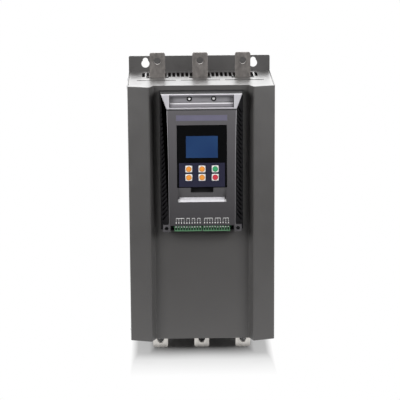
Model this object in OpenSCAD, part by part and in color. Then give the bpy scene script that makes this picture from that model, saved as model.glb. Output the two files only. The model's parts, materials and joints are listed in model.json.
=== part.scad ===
// Wall-mounted three-phase motor soft starter.
// X runs to the right, Y towards the wall and Z up. The origin lies on the wall face,
// midway across, level with the lower edge of the cover.

/* [Enclosure] */
// Width over the side walls
body_w = 280; // [272:1:320]
// Height of the cover
body_h = 503; // [490:1:580]
// Depth from the wall to the outer fold of each wing
side_d = 182; // [174:1:220]
// Sheet thickness of the cover
cover_t = 1.5; // [1.2:0.1:2]
// Inside radius of the cover's bends
bend_r = 1; // [1:0.5:3]
// Width of each raised wing
wing_w = 40.5; // [34:0.5:44]
// How far each ridge stands in front of its wing's outer fold
wing_rise = 12.4; // [8:0.2:16]
// Width of the flank between a ridge and the centre panel
flank_w = 8.2; // [6:0.2:10]
// Depth of the centre panel behind the ridges
flank_d = 19; // [14:0.5:24]

/* [Rear plate] */
// Thickness of the rear plate
plate_t = 2.5; // [2:0.1:4]
// How far the rear plate reaches past the cover, above and below
plate_rise = 30; // [26:1:50]
// Corner radius of the rear plate
plate_corner = 3; // [1:0.5:8]
// Distance between the two keyholes
keyhole_pitch = 214; // [200:1:250]
// Diameter of a keyhole's round entry
keyhole_entry_d = 16; // [14:0.5:18]
// Diameter of a keyhole's neck
keyhole_neck_d = 10.6; // [9:0.1:11]
// Height of the neck's centre above the entry's centre
keyhole_neck_rise = 6.7; // [6:0.1:8]
// Keyhole entry below the plate's top edge
keyhole_drop = 15.5; // [15:0.5:22]
// Diameter of the lower fixing holes
lower_hole_d = 10.5; // [6:0.5:12]
// Lower fixing holes above the plate's lower edge
lower_hole_rise = 15; // [10:0.5:18]

/* [End panels] */
// Sheet thickness of the end panels
panel_t = 1.5; // [1.2:0.1:2]
// How far the panels are set in from the cover's edges
panel_lip = 0.8; // [0.4:0.1:3]
// Height of the panels' turned flanges
flange_h = 16; // [14:0.5:22]
// Side flanges behind the cover's outer folds
flange_front = 12; // [8:0.5:20]
// Side flanges in front of the rear plate
flange_rear = 10; // [6:0.5:16]
// Rear flange short of the side flanges
flange_end = 12; // [8:0.5:20]
// Number of vent slots
vent_n = 27; // [15:2:27]
// Spacing of the vent slots
vent_pitch = 8.5; // [7:0.1:9]
// Width of a vent slot
vent_w = 5.6; // [3:0.1:6]
// Vent slots in front of the rear plate
vent_setback = 19.5; // [15:0.5:30]
// Metal between the vent slots and the bar slots
vent_land = 2.3; // [2:0.1:6]
// Width of a bar slot
bar_slot_w = 43; // [38:0.5:50]
// Depth of a bar slot
bar_slot_d = 12; // [10:0.5:22]
// Clearance of a bar slot behind its bar
bar_slot_back = 2; // [1.5:0.1:3]
// Length of a long thin slot
long_slot_l = 75; // [60:1:78]
// Width of a long thin slot
long_slot_w = 6; // [3:0.5:8]
// Metal between neighbouring long slots
long_slot_gap = 10; // [6:0.5:12]
// Metal between the bar slots and the long slots
long_slot_land = 23; // [16:0.5:30]

/* [Bus bars] */
// Width of a bar
bar_w = 30; // [24:1:34]
// Thickness of a bar
bar_t = 6; // [4:0.5:8]
// Distance between neighbouring bars
bar_pitch = 83; // [78:0.5:88]
// How far the bars reach past the cover
bar_rise = 48; // [40:1:60]
// Corner radius of a bar's outer end
bar_corner = 4; // [1:0.5:8]
// Diameter of a bar's lug hole
lug_hole_d = 13; // [9:0.5:15]
// Lug hole from the bar's outer end
lug_hole_end = 16; // [12:0.5:20]
// Diameter of the bolts that hold the bars
bar_bolt_d = 8; // [6:1:10]
// How deep those bolts reach into terminals and posts
bar_bolt_grip = 12; // [8:0.5:14]
// Diameter of a post insulator
post_d = 26; // [22:1:30]
// Depth of the grooves round a post
post_groove = 3; // [1:0.5:4]
// Upper posts below the cover's top edge
post_drop = 48; // [44:1:60]
// Lower posts above the cover's lower edge
post_rise = 60; // [54:1:70]

/* [Heat sink] */
// Clear space between the heat sink and each side wall
sink_margin = 15; // [8:0.5:20]
// Heat sink below the cover's top edge
sink_drop = 83; // [76:1:90]
// Heat sink above the cover's lower edge
sink_rise = 90; // [80:1:95]
// Thickness of its base
sink_base = 12; // [8:0.5:16]
// Height of its fins
fin_h = 30.5; // [24:0.5:34]
// Thickness of a fin
fin_t = 2.5; // [1.5:0.1:4]
// Number of fins between its two legs
fin_n = 23; // [15:1:27]
// Thickness of its two legs
leg_t = 10; // [9:0.5:14]
// Fixing screws from the ends of the legs
leg_screw_end = 30; // [20:1:60]

/* [Power modules] */
// Width of a module
module_w = 50; // [40:1:60]
// Length of a module
module_l = 116; // [112:1:130]
// Height of a module's terminals above the heat sink
module_h = 30; // [26:0.5:34]
// Height of its moulded middle
module_mid_h = 24; // [18:0.5:25]
// Thickness of its fixing feet
module_foot = 6; // [4:0.5:8]
// Length of each fixing foot
module_foot_l = 12; // [12:0.5:14]
// Length of each terminal
terminal_l = 22; // [20:0.5:24]
// Moulding between a terminal and its foot
terminal_end = 2; // [1:0.5:4]

/* [Current sensors] */
// Width of a current sensor
sensor_w = 58; // [50:1:68]
// Depth of a current sensor
sensor_d = 44; // [36:1:52]
// Height of a current sensor
sensor_h = 28; // [20:1:34]
// Current sensors above the cover's lower edge
sensor_rise = 130; // [110:1:150]
// Corner radius of a current sensor
sensor_corner = 9; // [3:0.5:14]

/* [Fans] */
// Side of a fan's frame
fan_s = 60; // [56:1:62]
// Thickness of a fan
fan_t = 25; // [20:1:28]
// Corner radius of a fan's frame
fan_corner = 4; // [2:0.5:5]
// Thickness of the base that carries the hub
fan_base_t = 3; // [2:0.5:4]
// Width of the spokes in the base
fan_spoke_w = 5; // [3:0.5:7]
// Panel left inside the duct, round the intake
intake_rim = 2; // [1:0.5:4]
// Diameter of a fan's duct
fan_duct_d = 57; // [50:0.5:57]
// Distance between a fan's fixing holes
fan_hole_pitch = 50; // [46:0.5:50]
// Clear space between the panel's rear flange and the fans
fan_setback = 3.5; // [2:0.5:4]
// Diameter of a fan's hub
hub_d = 26; // [20:1:30]
// Wall thickness of a hub
hub_wall = 2; // [1:0.1:2.5]
// Running gap above and below a rotor
rotor_gap = 0.6; // [0.4:0.1:1]
// Number of blades
blade_n = 7; // [5:1:9]
// Thickness of a blade
blade_t = 1.4; // [1:0.1:2]
// Pitch of the blades in degrees
blade_pitch = 38; // [25:1:45]
// Gap between the blade tips and the duct
tip_gap = 1; // [0.6:0.1:1.5]
// Diameter of the fan's shaft
shaft_d = 4; // [3:0.5:5]
// Shaft's end below the fan's front
shaft_end = 3; // [1:0.5:6]

/* [Control housing] */
// Width of the housing on the centre panel
house_w = 158.6; // [156:0.2:164]
// Height of the housing on the centre panel
house_h = 272; // [270:1:290]
// Housing below the cover's top edge
house_drop = 9; // [5:0.5:40]
// How far the housing stands in front of the centre panel
house_d = 35; // [34:0.5:45]
// Wall thickness of the housing
house_wall = 2.5; // [2:0.1:2.8]
// Thickness of the fascia and trim
face_t = 4; // [3.5:0.1:5]
// Edge rounding of the fascia and trim
face_edge_r = 2; // [1:0.1:2.5]
// Width of the fascia at its top
face_top_w = 132.4; // [130:0.2:142]
// Width of the fascia at its foot
face_foot_w = 127.2; // [126:0.2:132]
// Fascia above the housing's lower edge
face_rise = 3; // [2:0.5:6]
// Diameter of the screw bosses
boss_d = 8; // [7:0.5:9]
// Height of the upper bosses
boss_h = 10; // [8:0.5:12]
// Upper bosses inside the housing's walls
boss_in = 7; // [6:0.5:9]
// Upper bosses below the housing's top
boss_drop = 10; // [8:0.5:12]
// Width of the wiring window in the housing's back
wiring_w = 80; // [40:1:90]
// Height of the wiring window
wiring_h = 60; // [30:1:80]
// Extra room of the cover's window round the wiring window
wiring_room = 2; // [1:0.5:4]

/* [Louvres] */
// Spacing of the louvres
louvre_pitch = 9.1; // [8:0.1:12]
// Width of a louvre slot
louvre_w = 3.6; // [2.5:0.1:4.5]
// Length of a louvre slot
louvre_l = 26; // [20:0.5:28]
// Rise of the louvres towards the front, in degrees
louvre_angle = 40; // [25:1:45]
// How far the slots cut inside the walls' narrowest place
louvre_in = 4; // [2:0.5:6]
// Wall between the ears and the lowest louvre
louvre_foot = 1; // [0.5:0.5:6]
// Wall between the upper bosses and the highest louvre
louvre_head = 6; // [4:0.5:12]

/* [Top trim] */
// Width of the trim at its top
trim_top_w = 153.6; // [148:0.2:155]
// Height of the trim
trim_h = 29; // [27:0.5:34]
// Trim below the housing's upper edge
trim_drop = 2; // [1:0.5:4]
// Width of the trim's pocket
trim_pocket_w = 121.5; // [100:0.5:124]
// Rim above the pocket
trim_upper_rim = 4; // [4:0.1:6]
// Rim below the pocket
trim_lower_rim = 3.5; // [3:0.1:5]
// Depth of the pocket
trim_pocket_d = 9; // [7:0.2:10]
// Thickness of the pocket's floor
trim_floor_t = 3.6; // [3:0.1:4]
// Wall thickness round the pocket
trim_wall = 1.2; // [0.8:0.1:1.6]
// Depth of the bar along the pocket's lower side
trim_bar_d = 4; // [3:0.2:5]
// Height of that bar
trim_bar_h = 5; // [3:0.2:6]
// Height of the slope above that bar
trim_slope_h = 4; // [2:0.2:5]
// Distance between the trim's screws
trim_screw_pitch = 46; // [36:1:60]
// Width of the counterbores round the trim's screws
trim_bore_d = 10.4; // [8:0.1:11]

/* [Fascia] */
// Width of the label strip
label_w = 96.6; // [80:0.5:100]
// Height of the label strip
label_h = 10.6; // [8:0.2:14]
// Wall of the tub that takes the keypad
tub_wall = 2; // [1.6:0.1:2.4]
// Label strip below the fascia's top
label_drop = 10.7; // [8:0.2:14]
// Thickness of the label strip
label_t = 1; // [0.6:0.1:1.5]
// Width of the sloping recess below the keypad
slope_w = 92; // [80:0.5:94]
// Height of the sloping recess
slope_h = 20.2; // [14:0.2:22]
// Depth at the foot of the sloping recess
slope_d = 8; // [6:0.2:9]
// Height of the silver ledge
ledge_h = 7.3; // [6:0.1:12]
// Width of the silver ledge
ledge_w = 85.8; // [70:0.2:90]
// Thickness of the silver ledge
ledge_t = 1; // [0.6:0.1:1.5]
// Width of the finger notch
notch_w = 43; // [30:0.5:50]
// Height of the finger notch
notch_h = 10.2; // [8:0.2:12]
// Depth of the finger notch
notch_d = 10; // [8:0.5:12]
// Distance from the centre to an ear's outer edge
ear_reach = 75; // [74.4:0.2:77]
// Width of an ear
ear_w = 13; // [12.6:0.2:14.4]
// Height of an ear
ear_h = 13.6; // [12:0.2:15]
// Width of the web that roots an ear in the fascia's edge
ear_root = 2.4; // [2.2:0.1:4]
// How far that web rises past the ear
ear_root_rise = 3; // [1:0.5:6]
// Depth of the ears behind the fascia's front
ear_d = 1.5; // [1:0.1:2]
// Thickness of an ear
ear_t = 3.5; // [3.4:0.1:4]
// Width of the counterbore in an ear
ear_bore_d = 7.6; // [6.4:0.1:8]
// Thickness left under a counterbored screw head
seat_t = 1; // [0.8:0.1:1.4]

/* [Keypad] */
// Width of the keypad
keypad_w = 94.4; // [90:0.2:96]
// Height of the keypad
keypad_h = 121; // [120.5:0.5:126]
// Thickness of the keypad
keypad_t = 12.5; // [12.4:0.1:13]
// Keypad below the fascia's top
keypad_drop = 30; // [28:0.5:34]
// Keypad's front behind the fascia's front
keypad_set = 1.2; // [0.8:0.1:2]
// Wall thickness of the keypad's case
keypad_wall = 2; // [1.6:0.1:2.4]
// Thickness of the keypad's back
keypad_back_t = 1.6; // [1.2:0.1:2]
// How far the keypad draws out of its pocket
keypad_draw = 20; // [16:1:30]
// Width of the display window
window_w = 60.2; // [56:0.2:66]
// Height of the display window
window_h = 42.2; // [38:0.2:46]
// Display window below the keypad's top
window_drop = 21; // [16:0.5:22]
// Border of the display module round its window
display_border = 7; // [4:0.5:8]
// Thickness of the display module
display_t = 5.8; // [5.6:0.1:6]

/* [Keys] */
// Side of a key
key_s = 13.2; // [12:0.1:14]
// Corner radius of a key
key_corner = 1.2; // [0.5:0.1:2]
// Spacing of the keys across
key_pitch_x = 25.1; // [20:0.1:27]
// Spacing of the keys up and down
key_pitch_z = 16.4; // [16:0.1:19]
// Upper row of keys below the keypad's top
key_drop = 84.7; // [83:0.1:86]
// Travel of a key
key_travel = 1; // [0.5:0.1:1.2]
// How far a key stands out of the key panel
key_proud = 0.8; // [0.4:0.1:2]
// Retaining border behind a key
key_lip = 1.1; // [0.8:0.1:1.2]
// Thickness of that border
key_lip_t = 1.2; // [0.8:0.1:1.4]
// Diameter of a key's stem
key_stem_d = 4; // [3:0.5:6]
// Side of a key's switch
switch_s = 6; // [4:0.5:8]
// Width of the key panel
key_panel_w = 87; // [80:0.5:90]
// Height of the key panel
key_panel_h = 46.6; // [44:0.2:48]
// Thickness of the key panel
key_panel_t = 0.6; // [0.3:0.1:1]
// Key panel above the keypad's lower edge
key_panel_rise = 1.3; // [1:0.1:2]

/* [Control board] */
// Thickness of the circuit boards
board_t = 1.6; // [1:0.1:1.8]
// Control board behind the keypad's tub
board_gap = 2.5; // [2:0.1:3]
// Control board past the centres of its posts at each side
board_edge = 4; // [3.5:0.1:5.5]
// Control board above the fascia's foot
board_rise = 4; // [2:0.5:8]
// Control board below the fascia's top
board_drop = 6; // [4:0.5:8]
// Diameter of the board's posts
board_post_d = 7; // [6:0.5:8]
// Distance between the posts across
board_post_pitch = 105; // [103:0.5:106]
// Lower posts above the fascia's foot
board_post_rise = 26; // [22:1:40]
// Upper posts below the fascia's top
board_post_drop = 12; // [10:0.5:20]
// Width of a relay
relay_w = 19; // [12:0.5:22]
// Height of a relay
relay_h = 15; // [10:0.5:20]
// Depth of a relay
relay_d = 8.5; // [6:0.5:10]
// Spacing of the relays
relay_pitch = 24; // [22:0.5:30]
// Relays above the fascia's foot
relay_rise = 44; // [40:1:60]

/* [Terminals] */
// Number of poles in a terminal block
pole_n = 10; // [6:1:10]
// Spacing of the poles
pole_pitch = 5.08; // [4.5:0.01:5.1]
// Height of a terminal block
block_h = 10.6; // [9:0.1:11]
// Depth of the blocks' fronts behind the fascia's front
block_set = 3; // [1:0.1:4]
// Space between the two blocks
block_gap = 2.4; // [1.5:0.1:4]
// Moulding past a block's end poles
block_end = 0.5; // [0.3:0.1:1]
// Blocks above the fascia's foot
block_rise = 0.7; // [0.4:0.1:1.5]
// Depth of the step that holds the clamp screws
block_step = 2; // [1:0.1:3]
// Height of that step above a block's foot
block_step_rise = 5.1; // [4.5:0.1:5.5]
// Diameter of a clamp screw
clamp_d = 2.9; // [2:0.1:3.2]
// Length of a clamp screw
clamp_l = 4; // [3:0.5:6]
// Clamp screws behind the step
clamp_set = 1; // [0.5:0.1:2]
// Clamp screws below a block's top
clamp_drop = 2.6; // [2.2:0.1:3]
// Width of a clamp screw's slot
clamp_slot_w = 0.6; // [0.4:0.1:0.8]
// Depth of a clamp screw's slot
clamp_slot_d = 0.5; // [0.3:0.1:0.8]
// Width of a wire entry
wire_w = 3.2; // [2.4:0.1:3.6]
// Depth of a wire entry
wire_d = 4; // [3:0.1:5]
// Height of a wire entry
wire_h = 3; // [2:0.1:3.5]
// Wire entries behind the step
wire_set = 2; // [1:0.1:3]
// Width of the opening for the terminals
block_open_w = 121; // [112:0.5:121.6]
// Room above the blocks in that opening
block_head = 1.2; // [0.8:0.1:2]

/* [Fasteners] */
// Thread of the cover screws
cover_screw_d = 4; // [3:0.5:5]
// Length of the cover screws
cover_screw_l = 9; // [6:0.5:12]
// Rear cover screws in front of the wall
cover_screw_rear = 45; // [30:1:60]
// Front cover screws behind the outer folds
cover_screw_front = 47; // [30:1:60]
// Thread of the panel screws
panel_screw_d = 5; // [4:0.5:6]
// Spacing of the panel screws
panel_screw_pitch = 100; // [80:1:110]
// Thread of the module screws
module_screw_d = 5; // [4:0.5:5.5]
// How deep the module screws reach into the heat sink
module_screw_grip = 8; // [6:0.5:9]
// Thread of the fan screws
fan_screw_d = 4; // [3:0.5:4.5]
// Length of the fan screws
fan_screw_l = 9; // [6:0.5:14]
// Thread of the housing's screws
small_screw_d = 3; // [2.5:0.1:3]
// Length of the housing's screws
small_screw_l = 10; // [8:0.5:12]
// Thread of the screws through the rear plate
plate_screw_d = 6; // [5:0.5:6.5]
// Width of their countersunk heads
plate_head_d = 11; // [9:0.5:12]
// How deep they reach into legs and posts
plate_screw_grip = 10.5; // [8:0.5:12]
// Width of a bar bolt's head across its corners
bar_head_w = 14.4; // [13:0.1:16]
// Height of a bar bolt's head
bar_head_h = 5.5; // [4:0.1:7]
// Width of a bar bolt's washer
washer_d = 16.8; // [16:0.1:20]
// Thickness of a bar bolt's washer
washer_t = 1.6; // [1:0.1:2]

/* [Clearances] */
// Gap between sheets that lie inside one another
sheet_gap = 0.4; // [0.2:0.1:0.8]
// Gap round the keypad in its pocket
keypad_fit = 0.4; // [0.3:0.05:0.6]
// Gap round and behind moving keys
key_fit = 0.3; // [0.2:0.05:0.4]
// Gap round fixed inserts
insert_fit = 0.15; // [0.1:0.05:0.3]
// Radial gap round a screw
screw_fit = 0.1; // [0.05:0.05:0.2]
// Radial gap round a bolt in its bar
bolt_fit = 0.5; // [0.3:0.05:1]
// Room past the end of a screw in a blind hole
blind_room = 2; // [1:0.5:3]
// Radial running fit of a fan on its shaft
shaft_fit = 0.06; // [0.02:0.01:0.1]
// Gap between the bars and the current sensors
sensor_fit = 0.3; // [0.2:0.05:0.5]
// Width of the groove between trim and fascia
seam = 0.3; // [0.2:0.1:0.6]

/* [Hidden] */
$fn = 48;
bend_steps = 5;
flare_levels = [0, 0.6, 0.85, 1];
over = 1;
phases = [-1, 0, 1];
sides = [-1, 1];

// Planes of the enclosure, from the wall forwards
plate_y = -plate_t;
sink_y = plate_y - fin_h - sink_base;
bar_y = sink_y - module_h;
bar_front_y = bar_y - bar_t;
ridge_y = -side_d - wing_rise;
centre_y = ridge_y + flank_d;
face_y = centre_y - house_d;

// Heights of the enclosure
panel_z = body_h - panel_lip;
panel_floor = panel_lip + panel_t;
flange_screw_z = panel_z - panel_t - (flange_h - panel_t) / 2;
flange_heights = [flange_screw_z, body_h - flange_screw_z];
sink_h = body_h - sink_drop - sink_rise;
module_z = sink_rise + sink_h / 2;
terminal_off = module_l / 2 - module_foot_l - terminal_l / 2 - terminal_end;
foot_off = (module_l - module_foot_l) / 2;
sink_w = body_w - 2 * (cover_t + sink_margin);

// Slots of the end panels
bar_slot_y = bar_y + bar_slot_back;
vent_y = plate_y - vent_setback;
vent_l = vent_y - bar_slot_y - vent_land;
long_slot_y = bar_slot_y - bar_slot_d - long_slot_land;

// Fans
fan_y = plate_y - panel_t - fan_setback - fan_s / 2;
rotor_h = fan_t - fan_base_t - 2 * rotor_gap;

// Heights of the control housing
house_top = body_h - house_drop;
house_foot = house_top - house_h;
trim_top = house_top - trim_drop;
trim_foot = trim_top - trim_h;
face_top = trim_foot - seam;
face_foot = house_foot + face_rise;
face_h = face_top - face_foot;
trim_pocket_top = trim_top - trim_upper_rim;
trim_pocket_foot = trim_foot + trim_lower_rim;
trim_floor_d = trim_pocket_d + trim_floor_t;
trim_screw_z = (trim_pocket_top + trim_pocket_foot + trim_bar_h + trim_slope_h) / 2;
label_top = face_top - label_drop;
keypad_top = face_top - keypad_drop;
keypad_foot = keypad_top - keypad_h;
keypad_pocket_d = keypad_set + keypad_t + key_fit;
tub_d = keypad_pocket_d + tub_wall;
slope_foot = keypad_foot - keypad_fit - slope_h;
ledge_foot = slope_foot - ledge_h;
board_w = board_post_pitch + 2 * board_edge;
board_d = tub_d + board_gap;
board_back_y = face_y + board_d + board_t;
block_open_h = block_rise + block_h + block_head;
block_w = pole_n * pole_pitch + 2 * block_end;
block_foot = face_foot + block_rise;
ear_x = ear_reach - ear_w / 2;
ear_z = face_foot + ear_h / 2;
ear_rear_d = ear_d + ear_t;
boss_x = house_w / 2 - house_wall - boss_in;
boss_z = house_top - boss_drop;

// Depths inside the keypad
keypad_inner_d = keypad_set + keypad_wall;
keypad_board_d = keypad_inner_d + display_t;
window_top = keypad_top - window_drop;
key_panel_foot = keypad_foot + key_panel_rise;
key_rows = [keypad_top - key_drop, keypad_top - key_drop - key_pitch_z];
switch_d = keypad_board_d - key_fit;

// A pan-head screw's thread, length, head width and head height
function pan(d, l) = [d, l, 2 * d, 0.55 * d];

// Fasteners and their places
cover_screw = pan(cover_screw_d, cover_screw_l);
panel_screw = pan(panel_screw_d, plate_t + panel_t - sheet_gap);
module_screw = pan(module_screw_d, module_foot + module_screw_grip);
fan_screw = pan(fan_screw_d, fan_screw_l);
small_screw = pan(small_screw_d, small_screw_l);
cover_screw_y = [-cover_screw_rear, cover_screw_front - side_d];
panel_screw_x = panel_screw_pitch * phases;
leg_screw_z = [sink_rise + leg_screw_end, sink_rise + sink_h - leg_screw_end];
post_z = [body_h - post_drop, post_rise];

// Colours
paint = [0.33, 0.33, 0.33];
aluminium = [0.75, 0.76, 0.78];
copper = [0.62, 0.56, 0.5];
silver = [0.78, 0.77, 0.8];
black = [0.08, 0.08, 0.09];
fascia_grey = [0.32, 0.31, 0.33];
zinc = [0.7, 0.7, 0.7];
board_green = [0.1, 0.35, 0.2];
post_red = [0.55, 0.12, 0.1];
rotor_grey = [0.2, 0.2, 0.22];

// Direction and path helpers
function unit(v) = v / norm(v);
function turned(v, a) = [v.x * cos(a) - v.y * sin(a), v.x * sin(a) + v.y * cos(a)];
function left_of(a, b) = turned(unit(b - a), 90);

// A path moved to its left by t, mitred at its corners
function shifted(p, t) = [for (i = [0 : len(p) - 1])
    let (last = len(p) - 1)
    let (a = left_of(p[max(i - 1, 0)], p[max(i, 1)]))
    let (b = left_of(p[min(i, last - 1)], p[min(i + 1, last)]))
    p[i] + t * (a + b) / (1 + a * b)];

// The arc that rounds corner b between a and c, with one radius for left turns and one for right turns
function corner(a, b, c, r_left, r_right) =
    let (u = unit(b - a), v = unit(c - b), s = sign(cross(u, v)))
    let (angle = acos(u * v), r = s > 0 ? r_left : r_right)
    let (n = s * turned(u, 90), o = b - u * r * tan(angle / 2) + n * r)
    [for (k = [0 : bend_steps]) o - r * turned(n, s * angle * k / bend_steps)];

// An open path with rounded corners
function rounded(p, r_left, r_right) = [for (i = [0 : len(p) - 1])
    each (i == 0 || i == len(p) - 1) ? [p[i]] : corner(p[i - 1], p[i], p[i + 1], r_left, r_right)];

// A closed outline with rounded corners
function rounded_ring(p, r) = let (n = len(p)) [for (i = [0 : n - 1])
    each corner(p[(i + n - 1) % n], p[i], p[(i + 1) % n], r, r)];

// A rounded rectangle about the origin
function rounded_rect(w, h, r) = rounded_ring([[-w, -h] / 2, [w, -h] / 2, [w, h] / 2, [-w, h] / 2], r);

function reversed(p) = [for (i = [len(p) - 1 : -1 : 0]) p[i]];
function mirrored(p) = [for (q = reversed(p)) [-q.x, q.y]];

// The cover's outer surface in plan, from its left rear edge round to its right rear edge
function cover_path(rear) = let (half = [[-body_w / 2, rear], [-body_w / 2, -side_d],
    [-body_w / 2 + wing_w, ridge_y], [-body_w / 2 + wing_w + flank_w, centre_y]])
    concat(half, mirrored(half));

// A symmetric outline in X and Z from [height, half width] pairs
function outline(profile) = let (right = [for (q = profile) [q[1], q[0]]]) concat(right, mirrored(right));

// A closed outline drawn in by t, mitred at its corners
function drawn_in(p, t) = let (n = len(p)) [for (i = [0 : n - 1])
    let (a = left_of(p[(i + n - 1) % n], p[i]), b = left_of(p[i], p[(i + 1) % n]))
    p[i] + t * (a + b) / (1 + a * b)];

// An outline in X and Z placed at one depth
function placed(p, y) = [for (q = p) [q.x, y, q.y]];

// The fascia's flaring outline: its half width grows with the cube of the height
face_profile = [for (t = flare_levels)
    [face_foot + t * face_h, (face_foot_w + (face_top_w - face_foot_w) * pow(t, 3)) / 2]];
trim_profile = [[trim_foot, face_top_w / 2], [trim_top, trim_top_w / 2]];
base_profile = concat(face_profile, [[trim_top, trim_top_w / 2]]);

// A closed skin through outlines of equal length, from the rear one to the front one
module loft(rings) {
    n = len(rings[0]);
    m = len(rings);
    walls = [for (i = [0 : m - 2], j = [0 : n - 1])
        let (a = i * n + j, b = i * n + (j + 1) % n) [a, a + n, b + n, b]];
    rear = [for (j = [0 : n - 1]) j];
    front = [for (j = [n - 1 : -1 : 0]) (m - 1) * n + j];
    polyhedron([for (r = rings) each r], concat([rear, front], walls));
}

// The housing's shape: flat faces from a rectangle on the centre panel to the front outline, less an inset
module prow(inset, y_rear, y_front) {
    n = len(base_profile);
    mid = floor(n / 2);
    x = house_w / 2 - inset;
    low = house_foot + inset;
    high = house_top - inset;
    rear = [[x, y_rear, low], [x, y_rear, high], [-x, y_rear, high], [-x, y_rear, low]];
    right = concat([[0, 4 + mid, 1]], [for (i = [0 : n - 2]) [i < mid ? 0 : 1, 4 + i, 5 + i]]);
    other = [3, 2, 1, 0];
    left = [for (f = right) reversed([for (v = f) v < 4 ? other[v] : 2 * n + 7 - v])];
    front = placed(drawn_in(outline(base_profile), inset), y_front);
    polyhedron(concat(rear, front), concat(left, right,
        [[0, 1, 2, 3], [for (i = [2 * n + 3 : -1 : 4]) i], [0, 3, 2 * n + 3, 4], [1, 3 + n, 4 + n, 2]]));
}

// A plate with a front edge rounded by a quarter circle
module rounded_plate(profile) {
    steps = 4;
    loft(concat([placed(outline(profile), face_y + face_t)],
        [for (k = [0 : steps]) let (a = 90 * k / steps, y = face_y + face_edge_r * (1 - sin(a)))
            placed(drawn_in(outline(profile), face_edge_r * (1 - cos(a))), y)]));
}

// A drawing in X and Z carried forwards from one depth plane to another
module forwards(y_rear, y_front) translate([0, y_rear, 0]) rotate([90, 0, 0])
    linear_extrude(y_rear - y_front) children();

// A drawing in X and Z carried between two depths behind the fascia's front
module at_depth(d_front, d_rear) forwards(face_y + d_rear, face_y + d_front) children();

// A drawing in depth behind the fascia and Z, carried across a width
module across(w) translate([-w / 2, face_y, 0]) rotate([90, 0, 90]) linear_extrude(w) children();

// A box given by its lowest and highest corners
module box(low, high) translate(low) cube(high - low);

// A round bar along Y between two planes
module rod(x, z, d, y_rear, y_front) translate([x, y_rear, z]) rotate([90, 0, 0])
    cylinder(d = d, h = y_rear - y_front);

// A pan-head screw along Y: its head is seated at y and points forwards or, turned, to the rear
module screw(size, x, y, z, to_front = true) translate([x, y, z]) rotate([to_front ? 90 : -90, 0, 0]) {
    cylinder(d = size[2], h = size[3]);
    translate([0, 0, -size[1]]) cylinder(d = size[0], h = size[1]);
}

// Clearance hole for a screw's thread along Y
module screw_hole(size, x, z, y_rear, y_front) rod(x, z, size[0] + 2 * screw_fit, y_rear, y_front);

// Blind holes for the screws through the rear plate and for the bar bolts
module plate_screw_hole(x, z) rod(x, z, plate_screw_d + 2 * screw_fit,
    plate_y + over, plate_y - plate_screw_grip - blind_room);
module bar_bolt_hole(x, z) rod(x, z, bar_bolt_d + 2 * screw_fit,
    bar_y + bar_bolt_grip + blind_room, bar_y - over);

// Sheet metal

module keyhole(x) {
    z = body_h + plate_rise - keyhole_drop;
    rod(x, z, keyhole_entry_d, over, plate_y - over);
    rod(x, z + keyhole_neck_rise, keyhole_neck_d, over, plate_y - over);
}

module rear_plate() color(paint) difference() {
    forwards(0, plate_y) translate([0, body_h / 2])
        polygon(rounded_rect(body_w, body_h + 2 * plate_rise, plate_corner));
    for (s = sides) {
        keyhole(s * keyhole_pitch / 2);
        rod(s * keyhole_pitch / 2, lower_hole_rise - plate_rise, lower_hole_d, over, plate_y - over);
    }
    for (x = panel_screw_x, z = flange_heights)
        screw_hole(panel_screw, x, z, over, plate_y - over);
    plate_screws_at() countersink(screw_fit);
}

module end_panel_sheet() {
    inner = rounded(shifted(cover_path(plate_y), cover_t + sheet_gap), bend_r, bend_r + cover_t);
    flange_x = body_w / 2 - cover_t - sheet_gap;
    flange_y = [flange_front - side_d, plate_y - flange_rear];
    rear_x = flange_x - flange_end;
    translate([0, 0, panel_z - panel_t]) linear_extrude(panel_t) polygon(inner);
    for (s = sides)
        box([s > 0 ? flange_x - panel_t : -flange_x, flange_y[0], panel_z - flange_h],
            [s > 0 ? flange_x : panel_t - flange_x, flange_y[1], panel_z]);
    box([-rear_x, plate_y - panel_t, panel_z - flange_h], [rear_x, plate_y, panel_z]);
}

module end_panel() difference() {
    end_panel_sheet();
    for (i = phases) {
        box([i * bar_pitch - bar_slot_w / 2, bar_slot_y - bar_slot_d, panel_z - panel_t - over],
            [i * bar_pitch + bar_slot_w / 2, bar_slot_y, panel_z + over]);
        translate([i * (long_slot_l + long_slot_gap), long_slot_y - long_slot_w / 2, panel_z])
            cube([long_slot_l, long_slot_w, 2 * (panel_t + over)], center = true);
    }
    for (x = panel_screw_x)
        screw_hole(panel_screw, x, flange_screw_z, plate_y + over, plate_y - panel_t - over);
    for (y = cover_screw_y) translate([0, y, flange_screw_z]) rotate([0, 90, 0])
        cylinder(d = cover_screw_d + 2 * screw_fit, h = body_w, center = true);
}

module vent_slots() for (k = [0 : vent_n - 1]) {
    x = (k - (vent_n - 1) / 2) * vent_pitch;
    box([x - vent_w / 2, vent_y - vent_l, panel_z - panel_t - over],
        [x + vent_w / 2, vent_y, panel_z + over]);
}

module top_panel() color(paint) difference() {
    end_panel();
    vent_slots();
}

// Mirrors the top end of the enclosure to its bottom end
module at_bottom() translate([0, 0, body_h]) mirror([0, 0, 1]) children();

module bottom_panel() color(paint) difference() {
    at_bottom() end_panel();
    at_bottom() intersection() {
        vent_slots();
        for (i = phases) translate([i * bar_pitch, fan_y, panel_z - panel_t - 2 * over])
            cylinder(d = fan_duct_d - 2 * intake_rim, h = panel_t + 4 * over);
    }
    fan_screws_at() translate([0, 0, -over])
        cylinder(d = fan_screw_d + 2 * screw_fit, h = panel_floor + 2 * over);
}

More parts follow.
